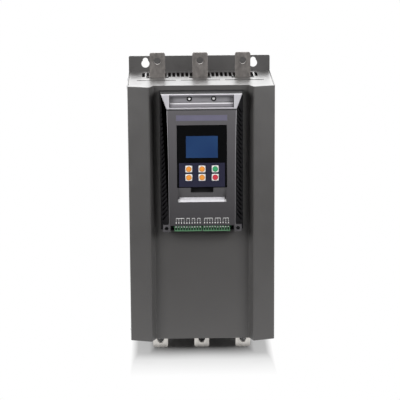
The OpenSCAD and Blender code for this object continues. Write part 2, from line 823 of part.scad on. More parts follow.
module front_cover() color(paint) difference() {
    outer = cover_path(plate_y - sheet_gap);
    inner = rounded(shifted(outer, cover_t), bend_r, bend_r + cover_t);
    linear_extrude(body_h) polygon(concat(rounded(outer, bend_r + cover_t, bend_r), reversed(inner)));
    wiring_window(wiring_room, centre_y + 2 * flank_d, centre_y - over);
    base_screws_at() rotate([90, 0, 0])
        cylinder(d = small_screw_d + 2 * screw_fit, h = 4 * cover_t, center = true);
    for (y = cover_screw_y, z = flange_heights) translate([0, y, z]) rotate([0, 90, 0])
        cylinder(d = cover_screw_d + 2 * screw_fit, h = body_w + 2 * over, center = true);
}

// Power section

module heat_sink() color(aluminium) difference() {
    pitch = (sink_w - 2 * leg_t) / (fin_n + 1);
    translate([0, 0, sink_rise]) linear_extrude(sink_h) {
        translate([-sink_w / 2, sink_y]) square([sink_w, sink_base]);
        for (s = sides) translate([s * (sink_w - leg_t) / 2 - leg_t / 2, sink_y + over])
            square([leg_t, plate_y - sink_y - over]);
        for (k = [1 : fin_n]) translate([-sink_w / 2 + leg_t + k * pitch - fin_t / 2, sink_y + over])
            square([fin_t, plate_y - sink_y - over]);
    }
    for (s = sides, z = leg_screw_z)
        plate_screw_hole(s * (sink_w - leg_t) / 2, z);
    for (i = phases, s = sides)
        screw_hole(module_screw, i * bar_pitch, module_z + s * foot_off,
            sink_y + module_screw_grip + blind_room, sink_y - over);
}

module power_module(i) color(black) difference() {
    foot = module_l / 2;
    body = foot - module_foot_l;
    low = terminal_off - terminal_l / 2;
    high = terminal_off + terminal_l / 2;
    half = [[0, foot], [module_foot, foot], [module_foot, body], [module_mid_h, body], [module_mid_h, high],
        [module_h, high], [module_h, low], [module_mid_h, low]];
    translate([i * bar_pitch - module_w / 2, sink_y, module_z]) rotate([90, 0, 90]) linear_extrude(module_w)
        polygon(concat([for (q = half) [-q.x, q.y]], [for (q = reversed(half)) [-q.x, -q.y]]));
    for (s = sides) {
        screw_hole(module_screw, i * bar_pitch, module_z + s * foot_off, sink_y + over, bar_y);
        bar_bolt_hole(i * bar_pitch, module_z + s * terminal_off);
    }
}

// A bar from its module's terminal at z_in to its rounded outer end at z_out
module bus_bar(i, z_in, z_out, z_post) color(copper) difference() {
    end = sign(z_out - z_in);
    tail = [[-bar_w / 2, z_in], [bar_w / 2, z_in]];
    tip = [[bar_w / 2, z_out], [-bar_w / 2, z_out]];
    outline = concat(tail, corner(tail[1], tip[0], tip[1], bar_corner, bar_corner),
        corner(tip[0], tip[1], tail[0], bar_corner, bar_corner));
    forwards(bar_y, bar_front_y) translate([i * bar_pitch, 0]) polygon(outline);
    rod(i * bar_pitch, z_out - end * lug_hole_end, lug_hole_d, bar_y + over, bar_front_y - over);
    for (z = [module_z + end * terminal_off, z_post])
        rod(i * bar_pitch, z, bar_bolt_d + 2 * bolt_fit, bar_y + over, bar_front_y - over);
}

module line_bar(i) bus_bar(i, module_z + terminal_off - terminal_l / 2, body_h + bar_rise, post_z[0]);
module load_bar(i) bus_bar(i, module_z - terminal_off + terminal_l / 2, -bar_rise, post_z[1]);

// Post insulators with three grooves, between the rear plate and the bars
module posts(z) color(post_red) for (i = phases) difference() {
    l = plate_y - bar_y;
    groove = l / 7;
    translate([i * bar_pitch, plate_y, z]) rotate([90, 0, 0]) rotate_extrude() difference() {
        square([post_d / 2, l]);
        for (k = [1, 3, 5]) translate([post_d / 2 - post_groove, k * groove])
            square([post_groove + over, groove]);
    }
    plate_screw_hole(i * bar_pitch, z);
    bar_bolt_hole(i * bar_pitch, z);
}

module current_sensor(i) color([0.12, 0.12, 0.14])
    translate([i * bar_pitch, bar_y - bar_t / 2, sensor_rise]) linear_extrude(sensor_h) difference() {
        polygon(rounded_rect(sensor_w, sensor_d, sensor_corner));
        square([bar_w + 2 * sensor_fit, bar_t + 2 * sensor_fit], center = true);
    }

// Fans

module at_fan(i) translate([i * bar_pitch, fan_y, panel_floor]) children();

module fan_frame(i) color(black) at_fan(i) {
    difference() {
        linear_extrude(fan_t) polygon(rounded_rect(fan_s, fan_s, fan_corner));
        translate([0, 0, -over]) cylinder(d = fan_duct_d, h = fan_t + 2 * over);
        for (x = sides, y = sides) translate([x, y] * fan_hole_pitch / 2)
            translate([0, 0, -over]) cylinder(d = fan_screw_d + 2 * screw_fit, h = fan_t + 2 * over);
    }
    cylinder(d = hub_d, h = fan_base_t);
    intersection() {
        for (a = [30, 150, 270]) rotate(a) translate([0, -fan_spoke_w / 2, 0])
            cube([fan_s, fan_spoke_w, fan_base_t]);
        cylinder(d = fan_duct_d + 1, h = fan_base_t);
    }
    cylinder(d = shaft_d, h = fan_t - shaft_end);
}

module fan_rotor(i) color(rotor_grey) at_fan(i) translate([0, 0, fan_base_t + rotor_gap]) difference() {
    tip_d = fan_duct_d - 2 * tip_gap;
    union() {
        difference() {
            cylinder(d = hub_d, h = rotor_h);
            translate([0, 0, -over]) cylinder(d = hub_d - 2 * hub_wall, h = rotor_h + over - hub_wall);
        }
        cylinder(d = shaft_d + 2 * hub_wall, h = rotor_h);
        intersection() {
            for (k = [0 : blade_n - 1]) rotate(360 * k / blade_n) translate([hub_d / 2 - 1, 0, rotor_h / 2])
                rotate([blade_pitch, 0, 0]) translate([0, -hub_d / 2, -blade_t / 2])
                    cube([tip_d, hub_d, blade_t]);
            difference() {
                cylinder(d = tip_d, h = rotor_h);
                translate([0, 0, -over]) cylinder(d = hub_d - hub_wall, h = rotor_h + 2 * over);
            }
        }
    }
    translate([0, 0, -over]) cylinder(d = shaft_d + 2 * shaft_fit, h = rotor_h + 2 * over);
}

// Control housing

module wiring_window(extra, y_rear, y_front) forwards(y_rear, y_front)
    translate([0, (house_top + house_foot) / 2])
        square([wiring_w + 2 * extra, wiring_h + 2 * extra], center = true);

module louvres() {
    half = (louvre_l * sin(louvre_angle) + louvre_w) / 2;
    first = face_foot + ear_h + louvre_foot + half;
    last = boss_z - louvre_head - half;
    inner = face_foot_w / 2 - house_wall - louvre_in;
    reach = house_w / 2 + over - inner;
    for (s = sides, k = [0 : floor((last - first) / louvre_pitch)])
        translate([s * (inner + reach / 2), (centre_y + face_y + face_t) / 2, first + k * louvre_pitch])
            rotate([-louvre_angle, 0, 0]) cube([reach, louvre_l, louvre_w], center = true);
}

module block_opening(d_rear) at_depth(-over, d_rear)
    translate([-block_open_w / 2, house_foot - over])
        square([block_open_w, face_foot - house_foot + over + block_open_h]);

// The outline of an ear on one side, grown by a gap
module ear_square(s, gap) translate([s * ear_x, ear_z])
    square([ear_w, ear_h] + 2 * [gap, gap], center = true);

module control_base() color(black) difference() {
    back_y = centre_y - house_wall;
    union() {
        difference() {
            prow(0, centre_y, face_y + face_t);
            prow(house_wall, back_y, face_y + face_t - over);
            louvres();
        }
        for (s = sides) {
            at_depth(ear_rear_d, house_d) ear_square(s, 0);
            rod(s * boss_x, boss_z, boss_d, centre_y, back_y - boss_h);
            rod(s * trim_screw_pitch / 2, trim_screw_z, boss_d, centre_y, face_y + trim_floor_d);
        }
        board_posts_at() rotate([90, 0, 0]) cylinder(d = board_post_d, h = centre_y - board_back_y);
    }
    for (s = sides) at_depth(-over, ear_rear_d) ear_square(s, insert_fit);
    block_opening(board_d + board_t + sheet_gap);
    wiring_window(0, centre_y + over, back_y - over);
    base_screws_at() translate([0, over, 0]) rotate([90, 0, 0])
        cylinder(d = small_screw_d + 2 * screw_fit, h = small_screw_l + over);
    for (s = sides) {
        screw_hole(small_screw, s * ear_x, ear_z, face_y + ear_rear_d + small_screw_l, face_y);
        screw_hole(small_screw, s * trim_screw_pitch / 2, trim_screw_z,
            face_y + trim_floor_d + small_screw_l, face_y);
    }
    board_posts_at() translate([0, -over, 0]) rotate([90, 0, 0])
        cylinder(d = small_screw_d + 2 * screw_fit, h = centre_y - board_back_y);
}

// The recess below the keypad, as depth and height: its lower side carries the ledge
ledge_path = [[slope_d, slope_foot], [0, ledge_foot]];

module slope_outline() {
    top = keypad_foot - keypad_fit;
    polygon(concat([[-over, top + over], [keypad_set, top + over], [keypad_set, top]],
        ledge_path, [[-over, ledge_foot]]));
}

// A strip along the ledge's slope, from an outer to an inner distance
module ledge_outline(outer, inner)
    polygon(concat(shifted(ledge_path, outer), reversed(shifted(ledge_path, inner))));

module control_fascia() color(fascia_grey) difference() {
    pocket_w = keypad_w + 2 * keypad_fit;
    pocket_foot = keypad_foot - keypad_fit;
    union() {
        rounded_plate(face_profile);
        at_depth(face_edge_r, tub_d) translate([-pocket_w / 2 - tub_wall, ledge_foot - tub_wall])
            square([pocket_w + 2 * tub_wall, keypad_top + keypad_fit - ledge_foot + 2 * tub_wall]);
        for (s = sides) {
            at_depth(ear_d, ear_rear_d) ear_square(s, 0);
            at_depth(ear_d, face_t - sheet_gap)
                translate([s * (ear_reach - ear_w + ear_root / 2), ear_z + ear_root_rise])
                    square([ear_root, ear_h], center = true);
        }
    }
    block_opening(tub_d);
    at_depth(-over, keypad_pocket_d) translate([-pocket_w / 2, pocket_foot])
        square([pocket_w, keypad_h + 2 * keypad_fit]);
    at_depth(-over, label_t) translate([0, label_top - label_h / 2])
        square([label_w, label_h] + 2 * [insert_fit, insert_fit], center = true);
    across(slope_w) slope_outline();
    across(ledge_w + 2 * insert_fit) ledge_outline(-over, ledge_t);
    at_depth(-over, notch_d) translate([-notch_w / 2, pocket_foot - notch_h])
        square([notch_w, notch_h + over]);
    for (s = sides) {
        rod(s * ear_x, ear_z, ear_bore_d, face_y + ear_rear_d - seat_t, face_y - over);
        screw_hole(small_screw, s * ear_x, ear_z, face_y + face_t + 2 * over, face_y);
    }
}

module top_trim() color(silver) difference() {
    bar_top = trim_pocket_foot + trim_bar_h;
    union() {
        rounded_plate(trim_profile);
        at_depth(face_edge_r, trim_floor_d) translate([0, (trim_pocket_top + trim_pocket_foot) / 2])
            square([trim_pocket_w + 2 * trim_wall, trim_pocket_top - trim_pocket_foot + 2 * trim_wall],
                center = true);
    }
    across(trim_pocket_w) polygon([[-over, trim_pocket_top], [trim_pocket_d, trim_pocket_top],
        [trim_pocket_d, bar_top + trim_slope_h], [trim_bar_d, bar_top], [trim_bar_d, trim_pocket_foot],
        [-over, trim_pocket_foot]]);
    for (x = sides * trim_screw_pitch / 2) {
        rod(x, trim_screw_z, trim_bore_d, face_y + trim_floor_d - seat_t, face_y);
        screw_hole(small_screw, x, trim_screw_z, face_y + trim_floor_d + over, face_y);
    }
}

module label_strip() color([0.44, 0.43, 0.51]) at_depth(0, label_t)
    translate([0, label_top - label_h / 2]) square([label_w, label_h], center = true);

module lower_ledge() color(silver) across(ledge_w) ledge_outline(0, ledge_t);

// Keypad

module key_places() for (z = key_rows, x = [-1, 0, 1]) translate([x * key_pitch_x, z]) children();

// The outline of the display window, grown by a border
module window_square(border) translate([0, window_top - window_h / 2])
    square([window_w, window_h] + 2 * [border, border], center = true);

module keypad_case() color(black) difference() {
    at_depth(keypad_set, keypad_set + keypad_t) translate([-keypad_w / 2, keypad_foot])
        square([keypad_w, keypad_h]);
    at_depth(keypad_inner_d, keypad_set + keypad_t + over)
        translate([keypad_wall - keypad_w / 2, keypad_foot + keypad_wall])
            square([keypad_w - 2 * keypad_wall, keypad_h - 2 * keypad_wall]);
    at_depth(keypad_set - over, keypad_inner_d + over) {
        window_square(insert_fit);
        key_places() square(key_s + 2 * key_fit, center = true);
    }
}

module keypad_plate(d, t) at_depth(d, d + t)
    translate([0, keypad_foot + keypad_h / 2])
        square([keypad_w, keypad_h] - 2 * (keypad_wall + insert_fit) * [1, 1], center = true);

module keypad_back() color(black) keypad_plate(keypad_set + keypad_t - keypad_back_t, keypad_back_t);

module keypad_board() color(board_green) {
    keypad_plate(keypad_board_d, board_t);
    at_depth(switch_d, keypad_board_d + over / 2) key_places() square(switch_s, center = true);
}

module display_module() color(rotor_grey) at_depth(keypad_inner_d, keypad_board_d)
    window_square(display_border);

module display_window() color([0.15, 0.27, 0.44]) at_depth(keypad_set, keypad_inner_d) window_square(0);

module key_panel() color([0.2, 0.2, 0.26]) at_depth(keypad_set - key_panel_t, keypad_set) difference() {
    translate([-key_panel_w / 2, key_panel_foot]) square([key_panel_w, key_panel_h]);
    key_places() square(key_s + 2 * key_fit, center = true);
}

// A key in its column and row: cap, retaining flange and stem
module key(column, row) translate([column * key_pitch_x, 0, key_rows[row]]) {
    flange_d = keypad_inner_d + key_fit;
    stem_end = switch_d - key_fit - key_travel;
    at_depth(keypad_set - key_panel_t - key_proud, flange_d + over / 2)
        polygon(rounded_rect(key_s, key_s, key_corner));
    at_depth(flange_d, flange_d + key_lip_t) square(key_s + 2 * key_lip, center = true);
    rod(0, 0, key_stem_d, face_y + stem_end, face_y + flange_d);
}

// Control electronics

module board_posts_at() for (s = sides, z = [face_foot + board_post_rise, face_top - board_post_drop])
    translate([s * board_post_pitch / 2, centre_y, z]) children();

module control_board() color(board_green) difference() {
    union() {
        at_depth(board_d, board_d + board_t) translate([-board_w / 2, face_foot + board_rise])
            square([board_w, face_h - board_rise - board_drop]);
        for (i = phases) at_depth(board_d + board_t, board_d + board_t + relay_d)
            translate([i * relay_pitch, face_foot + relay_rise]) square([relay_w, relay_h], center = true);
    }
    for (s = sides) at_depth(0, house_d) ear_square(s, sheet_gap);
    board_posts_at() rotate([90, 0, 0])
        cylinder(d = small_screw_d + 2 * screw_fit, h = 2 * house_d, center = true);
}

function pole_x(s, k) = s * (block_gap + block_w) / 2 + (k - (pole_n - 1) / 2) * pole_pitch;
clamp_z = block_foot + block_h - clamp_drop;
step_d = block_set + block_step;

module terminal_block(s) color([0.25, 0.5, 0.32]) difference() {
    step_z = block_foot + block_step_rise;
    side = [[block_set, block_foot], [block_set, step_z - block_step / 2], [step_d, step_z],
        [step_d, block_foot + block_h], [board_d, block_foot + block_h], [board_d, block_foot]];
    translate([s * (block_gap + block_w) / 2, 0, 0]) across(block_w) polygon(side);
    for (k = [0 : pole_n - 1]) {
        rod(pole_x(s, k), clamp_z, clamp_d + 2 * screw_fit, face_y + step_d + clamp_set + clamp_l, face_y);
        box([pole_x(s, k) - wire_w / 2, face_y + step_d + wire_set, block_foot - over],
            [pole_x(s, k) + wire_w / 2, face_y + step_d + wire_set + wire_d, block_foot + wire_h]);
    }
}

// Fasteners

module clamp_screws() color(zinc) for (s = sides, k = [0 : pole_n - 1]) {
    front_y = face_y + step_d + clamp_set;
    difference() {
        rod(pole_x(s, k), clamp_z, clamp_d, front_y + clamp_l, front_y);
        translate([pole_x(s, k), front_y, clamp_z])
            cube([clamp_d, 2 * clamp_slot_d, clamp_slot_w], center = true);
    }
}

module trim_screws() color(zinc) for (s = sides)
    screw(small_screw, s * trim_screw_pitch / 2, face_y + trim_floor_d - seat_t, trim_screw_z);

module ear_screws() color(black) for (s = sides)
    screw(small_screw, s * ear_x, face_y + ear_rear_d - seat_t, ear_z);

module base_screws_at() for (s = sides) {
    translate([s * ear_x, centre_y, ear_z]) children();
    translate([s * boss_x, centre_y, boss_z]) children();
}

module base_screws() color(zinc) base_screws_at() screw(small_screw, 0, cover_t, 0, false);

module board_screws() color(zinc) board_posts_at() screw(small_screw, 0, face_y + board_d - centre_y, 0);

module cover_screws() color(zinc) for (s = sides, y = cover_screw_y, z = flange_heights)
    translate([s * body_w / 2, y, z]) rotate([0, s * 90, 0]) {
        cylinder(d = cover_screw[2], h = cover_screw[3]);
        translate([0, 0, -cover_screw_l]) cylinder(d = cover_screw_d, h = cover_screw_l);
    }

module panel_screws() color(zinc) for (x = panel_screw_x, z = flange_heights)
    screw(panel_screw, x, plate_y - panel_t, z);

// Places of the countersunk screws that hold the heat sink and the posts to the rear plate
module plate_screws_at() {
    for (s = sides, z = leg_screw_z) translate([s * (sink_w - leg_t) / 2, 0, z]) children();
    for (i = phases, z = post_z) translate([i * bar_pitch, 0, z]) children();
}

module countersink(gap) rotate([90, 0, 0]) {
    cylinder(d1 = plate_head_d + 2 * gap, d2 = plate_screw_d + 2 * gap, h = plate_t);
    cylinder(d = plate_screw_d + 2 * gap, h = plate_t + (gap > 0 ? over : plate_screw_grip));
}

module plate_screws() color(zinc) plate_screws_at() countersink(0);

module module_screws() color(zinc) for (i = phases, s = sides)
    screw(module_screw, i * bar_pitch, sink_y - module_foot, module_z + s * foot_off);

module bar_bolt(x, z) translate([x, bar_front_y, z]) rotate([90, 0, 0]) {
    cylinder(d = washer_d, h = washer_t);
    cylinder(d = bar_head_w, h = washer_t + bar_head_h, $fn = 6);
    translate([0, 0, -bar_t - bar_bolt_grip]) cylinder(d = bar_bolt_d, h = bar_t + bar_bolt_grip);
}

module bar_bolts() color(zinc) for (i = phases) {
    for (s = sides) bar_bolt(i * bar_pitch, module_z + s * terminal_off);
    for (z = post_z) bar_bolt(i * bar_pitch, z);
}

module fan_screws_at() for (i = phases, x = sides, y = sides)
    translate([i * bar_pitch + x * fan_hole_pitch / 2, fan_y + y * fan_hole_pitch / 2, 0]) children();

module fan_screws() color(zinc) fan_screws_at() translate([0, 0, panel_lip]) {
    translate([0, 0, -fan_screw[3]]) cylinder(d = fan_screw[2], h = fan_screw[3]);
    cylinder(d = fan_screw_d, h = fan_screw_l);
}

rear_plate();
top_panel();
bottom_panel();
front_cover();
heat_sink();
power_module(-1);  // power_module_left
power_module(0);  // power_module_mid
power_module(1);  // power_module_right
line_bar(-1);  // line_bar_left
line_bar(0);  // line_bar_mid
line_bar(1);  // line_bar_right
load_bar(-1);  // load_bar_left
load_bar(0);  // load_bar_mid
load_bar(1);  // load_bar_right
posts(post_z[0]);  // line_posts
posts(post_z[1]);  // load_posts
current_sensor(-1);  // current_sensor_left
current_sensor(0);  // current_sensor_mid
current_sensor(1);  // current_sensor_right
fan_frame(-1);  // fan_frame_left
fan_frame(0);  // fan_frame_mid
fan_frame(1);  // fan_frame_right
fan_rotor(-1);  // fan_rotor_left
fan_rotor(0);  // fan_rotor_mid
fan_rotor(1);  // fan_rotor_right
control_base();
control_fascia();
top_trim();
label_strip();
lower_ledge();
keypad_case();
keypad_back();
keypad_board();
display_module();
display_window();
key_panel();
color([0.9, 0.6, 0.35]) key(-1, 0);  // key_upper_left
color([0.9, 0.6, 0.35]) key(0, 0);  // key_upper_mid
color([0.3, 0.65, 0.45]) key(1, 0);  // key_start
color([0.9, 0.6, 0.35]) key(-1, 1);  // key_lower_left
color([0.9, 0.6, 0.35]) key(0, 1);  // key_lower_mid
color([0.8, 0.3, 0.35]) key(1, 1);  // key_stop
control_board();
terminal_block(-1);  // terminal_block_left
terminal_block(1);  // terminal_block_right
clamp_screws();
trim_screws();
ear_screws();
base_screws();
board_screws();
cover_screws();
panel_screws();
plate_screws();
module_screws();
bar_bolts();
fan_screws();
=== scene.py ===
import json
import bmesh
import bpy
import numpy as np
from math import cos, pi, radians, sin
from mathutils import Matrix, Vector


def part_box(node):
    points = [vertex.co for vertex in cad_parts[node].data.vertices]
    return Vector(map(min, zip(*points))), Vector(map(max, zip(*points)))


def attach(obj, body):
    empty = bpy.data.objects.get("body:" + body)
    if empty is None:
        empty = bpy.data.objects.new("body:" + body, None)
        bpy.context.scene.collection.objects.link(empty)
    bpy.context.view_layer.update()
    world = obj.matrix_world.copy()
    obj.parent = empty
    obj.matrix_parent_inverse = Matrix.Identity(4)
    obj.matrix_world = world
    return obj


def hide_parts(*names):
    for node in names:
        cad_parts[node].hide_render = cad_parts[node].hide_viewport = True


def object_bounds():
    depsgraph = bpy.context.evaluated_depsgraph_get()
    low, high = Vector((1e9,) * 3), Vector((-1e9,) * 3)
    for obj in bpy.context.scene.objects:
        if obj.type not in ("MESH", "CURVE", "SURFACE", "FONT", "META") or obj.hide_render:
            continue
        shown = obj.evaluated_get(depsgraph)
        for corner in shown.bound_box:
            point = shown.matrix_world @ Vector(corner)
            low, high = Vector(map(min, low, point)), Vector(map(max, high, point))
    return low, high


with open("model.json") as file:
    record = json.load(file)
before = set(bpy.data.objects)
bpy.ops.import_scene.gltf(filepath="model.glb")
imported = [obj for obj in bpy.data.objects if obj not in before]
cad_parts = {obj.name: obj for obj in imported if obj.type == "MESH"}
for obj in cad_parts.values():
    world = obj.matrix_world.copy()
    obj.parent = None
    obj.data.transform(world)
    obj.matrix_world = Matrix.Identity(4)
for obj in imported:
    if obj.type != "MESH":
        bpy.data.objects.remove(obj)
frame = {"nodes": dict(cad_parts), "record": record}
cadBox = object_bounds()
mm = 0.001


# mesh helpers

mergeWithin = 1e-7  # metres between points that count as one


def closeSkin(mesh, crease):
    # doubles merged, faces turned outwards, smooth but for edges past the crease angle in degrees
    work = bmesh.new()
    work.from_mesh(mesh)
    bmesh.ops.remove_doubles(work, verts=work.verts, dist=mergeWithin)
    bmesh.ops.recalc_face_normals(work, faces=work.faces)
    work.to_mesh(mesh)
    work.free()
    mesh.polygons.foreach_set("use_smooth", np.ones(len(mesh.polygons), bool))
    mesh.set_sharp_from_angle(angle=radians(crease))


def placeMap(mesh, formula):
    # a UV map named place: the formula turns points into flat places
    layer = mesh.uv_layers.new(name="place")
    corner = np.empty(len(mesh.loops), np.int32)
    mesh.loops.foreach_get("vertex_index", corner)
    points = np.empty(len(mesh.vertices) * 3)
    mesh.vertices.foreach_get("co", points)
    layer.data.foreach_set("uv", formula(points.reshape(-1, 3))[corner].ravel())


def skinGrid(name, grids, body, stands, crease, wrapRows=False, capEnds=False, formula=None):
    # one grid of points for each copy, rows x columns, in metres in the shared frame: quads join neighbours
    # and columns close on themselves; rows close too, end in caps or, where they shut flat, need neither
    copies, rows, cols = grids.shape[:3]
    index = np.arange(rows * cols).reshape(rows, cols)
    here, after = (index, np.roll(index, -1, 0)) if wrapRows else (index[:-1], index[1:])
    quads = np.stack([here, np.roll(here, -1, 1), np.roll(after, -1, 1), after], -1).reshape(-1, 4)
    caps = index[[0, -1]] if capEnds else index[:0]
    shift = np.arange(copies)[:, None, None] * index.size
    faces = np.concatenate(quads + shift).tolist() + np.concatenate(caps + shift).tolist()
    mesh = bpy.data.meshes.new(name)
    mesh.from_pydata(grids.reshape(-1, 3).tolist(), [], faces)
    closeSkin(mesh, crease)
    if formula:
        placeMap(mesh, formula)
    piece = bpy.data.objects.new(name, mesh)
    bpy.context.scene.collection.objects.link(piece)
    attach(piece, body)
    if stands:
        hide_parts(*stands)
    return piece


def size(node):
    # lowest corner, highest corner, span and middle of a node at rest
    low, high = (np.array(v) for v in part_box(node))
    return low, high, high - low, (low + high) / 2


def quarterTurn(steps):
    return np.linspace(0, pi / 2, steps)


def fullTurn(steps):
    return np.linspace(0, 2 * pi, steps, endpoint=False)


# material helpers

class Finish:
    def __init__(self, name, color, rough, sockets=()):
        self.mat = bpy.data.materials.new(name)
        self.mat.use_nodes = True
        self.tree = self.mat.node_tree
        self.shader = self.tree.nodes["Principled BSDF"]
        self.color = color
        self.rough = rough
        self.set("Base Color", (*color, 1))
        self.set("Roughness", rough)
        for socket, value in dict(sockets).items():
            self.set(socket, value)
        self.coords = self.node("ShaderNodeTexCoord")

    def node(self, kind, **values):
        made = self.tree.nodes.new(kind)
        for key, value in values.items():
            setattr(made, key, value)
        return made

    def set(self, socket, value):
        self.shader.inputs[socket].default_value = value

    def link(self, a, b):
        self.tree.links.new(a, b)

    def noise(self, perMetre, detail, rough=0.5, stretch=(1, 1, 1)):
        # noise on Object coordinates; a stretch below 1 draws it out along that axis
        tex = self.node("ShaderNodeTexNoise")
        tex.inputs["Scale"].default_value = perMetre
        tex.inputs["Detail"].default_value = detail
        tex.inputs["Roughness"].default_value = rough
        place = self.node("ShaderNodeMapping")
        place.inputs["Scale"].default_value = stretch
        self.link(self.coords.outputs["Object"], place.inputs["Vector"])
        self.link(place.outputs["Vector"], tex.inputs["Vector"])
        return tex.outputs["Fac"]

    def spread(self, fac, low, high, start=0.3, end=0.7):
        # start to end becomes low to high, and stays there beyond; the usual start and end suit noise
        ramp = self.node("ShaderNodeMapRange")
        for key, value in (("From Min", start), ("From Max", end), ("To Min", low), ("To Max", high)):
            ramp.inputs[key].default_value = value
        self.link(fac, ramp.inputs["Value"])
        return ramp.outputs["Result"]

    def mixColor(self, fac, a, b):
        mix = self.node("ShaderNodeMix", data_type="RGBA")
        self.link(fac, mix.inputs["Factor"])
        for socket, value in ((mix.inputs["A"], a), (mix.inputs["B"], b)):
            if isinstance(value, tuple):
                socket.default_value = (*value, 1)
            else:
                self.link(value, socket)
        return mix.outputs["Result"]

    def blend(self, noise, a, b):
        return self.mixColor(self.spread(noise, 0, 1), a, b)

    def axes(self):
        # the three Object coordinates by letter, in metres
        split = self.node("ShaderNodeSeparateXYZ")
        self.link(self.coords.outputs["Object"], split.inputs[0])
        return {k: split.outputs[k] for k in "XYZ"}

    def math(self, operation, a, b=None):
        step = self.node("ShaderNodeMath", operation=operation)
        self.link(a, step.inputs[0])
        if isinstance(b, (int, float)):
            step.inputs[1].default_value = b
        elif b is not None:
            self.link(b, step.inputs[1])
        return step.outputs[0]

    def absolute(self, fac):
        return self.math("ABSOLUTE", fac)

    def product(self, a, b):
        return self.math("MULTIPLY", a, b)

    def within(self, fac, low, high):
        # 1 between the two values, 0 elsewhere
        return self.product(self.math("GREATER_THAN", fac, low), self.math("LESS_THAN", fac, high))

    def steps(self, fac, stops):
        # one colour from each stop up to the next
        ramp = self.node("ShaderNodeValToRGB")
        ramp.color_ramp.interpolation = "CONSTANT"
        marks = ramp.color_ramp.elements
        while len(marks) < len(stops):
            marks.new(1.0)
        for mark, (at, color) in zip(marks, stops):
            mark.position = at
            mark.color = (*color, 1)
        self.link(fac, ramp.inputs["Fac"])
        return ramp.outputs["Color"]

    def paint(self, color):
        self.link(color, self.shader.inputs["Base Color"])

    def vary(self, noise, amount):
        # lighter and darker patches of the base colour
        low = tuple(v * (1 - amount) for v in self.color)
        high = tuple(v * (1 + amount) for v in self.color)
        self.paint(self.blend(noise, low, high))

    def gloss(self, noise, span):
        # the roughness wanders about its own value
        low, high = (self.rough + v for v in span)
        self.link(self.spread(noise, low, high), self.shader.inputs["Roughness"])

    def relief(self, noise, deep, strength):
        # raises the surface by the noise, deep in metres
        bump = self.node("ShaderNodeBump")
        bump.inputs["Distance"].default_value = deep
        bump.inputs["Strength"].default_value = strength
        self.link(noise, bump.inputs["Height"])
        self.link(bump.outputs["Normal"], self.shader.inputs["Normal"])

    def grain(self, g):
        self.gloss(self.noise(*g["gloss"]), g["span"])
        self.relief(self.noise(*g["relief"]), g["deep"], g["strength"])


# grains: each kind of surface has patches of tint, patches of gloss and a fine relief;
# a noise is written as its scale per metre, its detail and, where it is drawn out, its roughness and stretch

grains = {
    # powder coat, orange peel of about 0.7 mm
    "paint": {"patch": (6, 3), "tint": 0.04, "gloss": (40, 2), "span": (-0.03, 0.06),
              "relief": (1400, 2), "deep": 0.04 * mm, "strength": 0.5},
    # spark-eroded mould
    "moulded": {"patch": (25, 2), "tint": 0.06, "gloss": (180, 2), "span": (-0.05, 0.06),
                "relief": (1800, 2), "deep": 0.03 * mm, "strength": 0.5},
    # plated or bare metal
    "metal": {"patch": (200, 3), "tint": 0.08, "gloss": (600, 2), "span": (-0.06, 0.08),
              "relief": (1200, 2), "deep": 0.01 * mm, "strength": 0.4},
    # polished mould or film
    "smooth": {"patch": (30, 2), "tint": 0.05, "gloss": (120, 2), "span": (0, 0.05),
               "relief": (300, 1), "deep": 0.004 * mm, "strength": 0.3},
    # blotchy tin, drawn along the bar
    "tin": {"patch": (110, 4, 0.6, (1, 1, 0.6)), "tint": 0.16, "gloss": (240, 3, 0.6, (1, 1, 0.4)),
            "span": (-0.08, 0.1), "relief": (900, 3, 0.6, (1, 1, 0.2)), "deep": 0.01 * mm, "strength": 0.4},
}
grains["oldTin"] = {**grains["tin"], "tint": 0.3}


def plainFinish(name, kind, color, rough, sockets=()):
    g = grains[kind]
    f = Finish(name, color, rough, sockets)
    f.vary(f.noise(*g["patch"]), g["tint"])
    f.grain(g)
    return f.mat


paintLook = {"color": (0.08, 0.0772, 0.076), "rough": 0.38, "coatRough": 0.32, "coatIor": 1.6}


def paintFinish(name, coat, s=paintLook):
    # satin powder coat, glossy at a grazing view
    sockets = {"Coat Weight": coat, "Coat Roughness": s["coatRough"], "Coat IOR": s["coatIor"]}
    return plainFinish(name, "paint", s["color"], s["rough"], sockets)


trimLook = {
    "color": (0.5, 0.49, 0.52), "rough": 0.32, "gloss": (120, 2), "span": (-0.02, 0.06),
    "silver": ((0.48, 0.47, 0.5), (0.54, 0.53, 0.56)), "patch": (30, 2),
    "relief": (2200, 2), "deep": 0.008 * mm, "strength": 0.4,  # fine metallic grain
    "half": 60.9 * mm, "lower": 3.5 * mm, "line": 1.2 * mm,  # half the pocket, its lower and upper rim
    "zones": [(3.5 * mm, (0.26, 0.25, 0.27)),  # bar along the pocket's foot, darker: painted shade
              (9.4 * mm, (0.8, 0.79, 0.82)),  # its lip, lighter: a painted highlight
              (11.4 * mm, (0.12, 0.117, 0.125)),  # slope behind it, darker: painted shade
              (12.6 * mm, (0.25, 0.245, 0.26))],  # floor, darker: painted shade
    "upper": 4 * mm, "upperBandShade": (0.16, 0.155, 0.17),  # band below the upper rim, darker: painted shade
    # the pocket's ends and foot take painted shade
    "end": 1.5 * mm, "foot": 1.1 * mm, "cornerShade": (0.06, 0.058, 0.064),
    # the counterbores take painted black shade
    "bore": 9.2 * mm, "boreSoft": 0.3 * mm, "bare": (0.008, 0.008, 0.009),
}


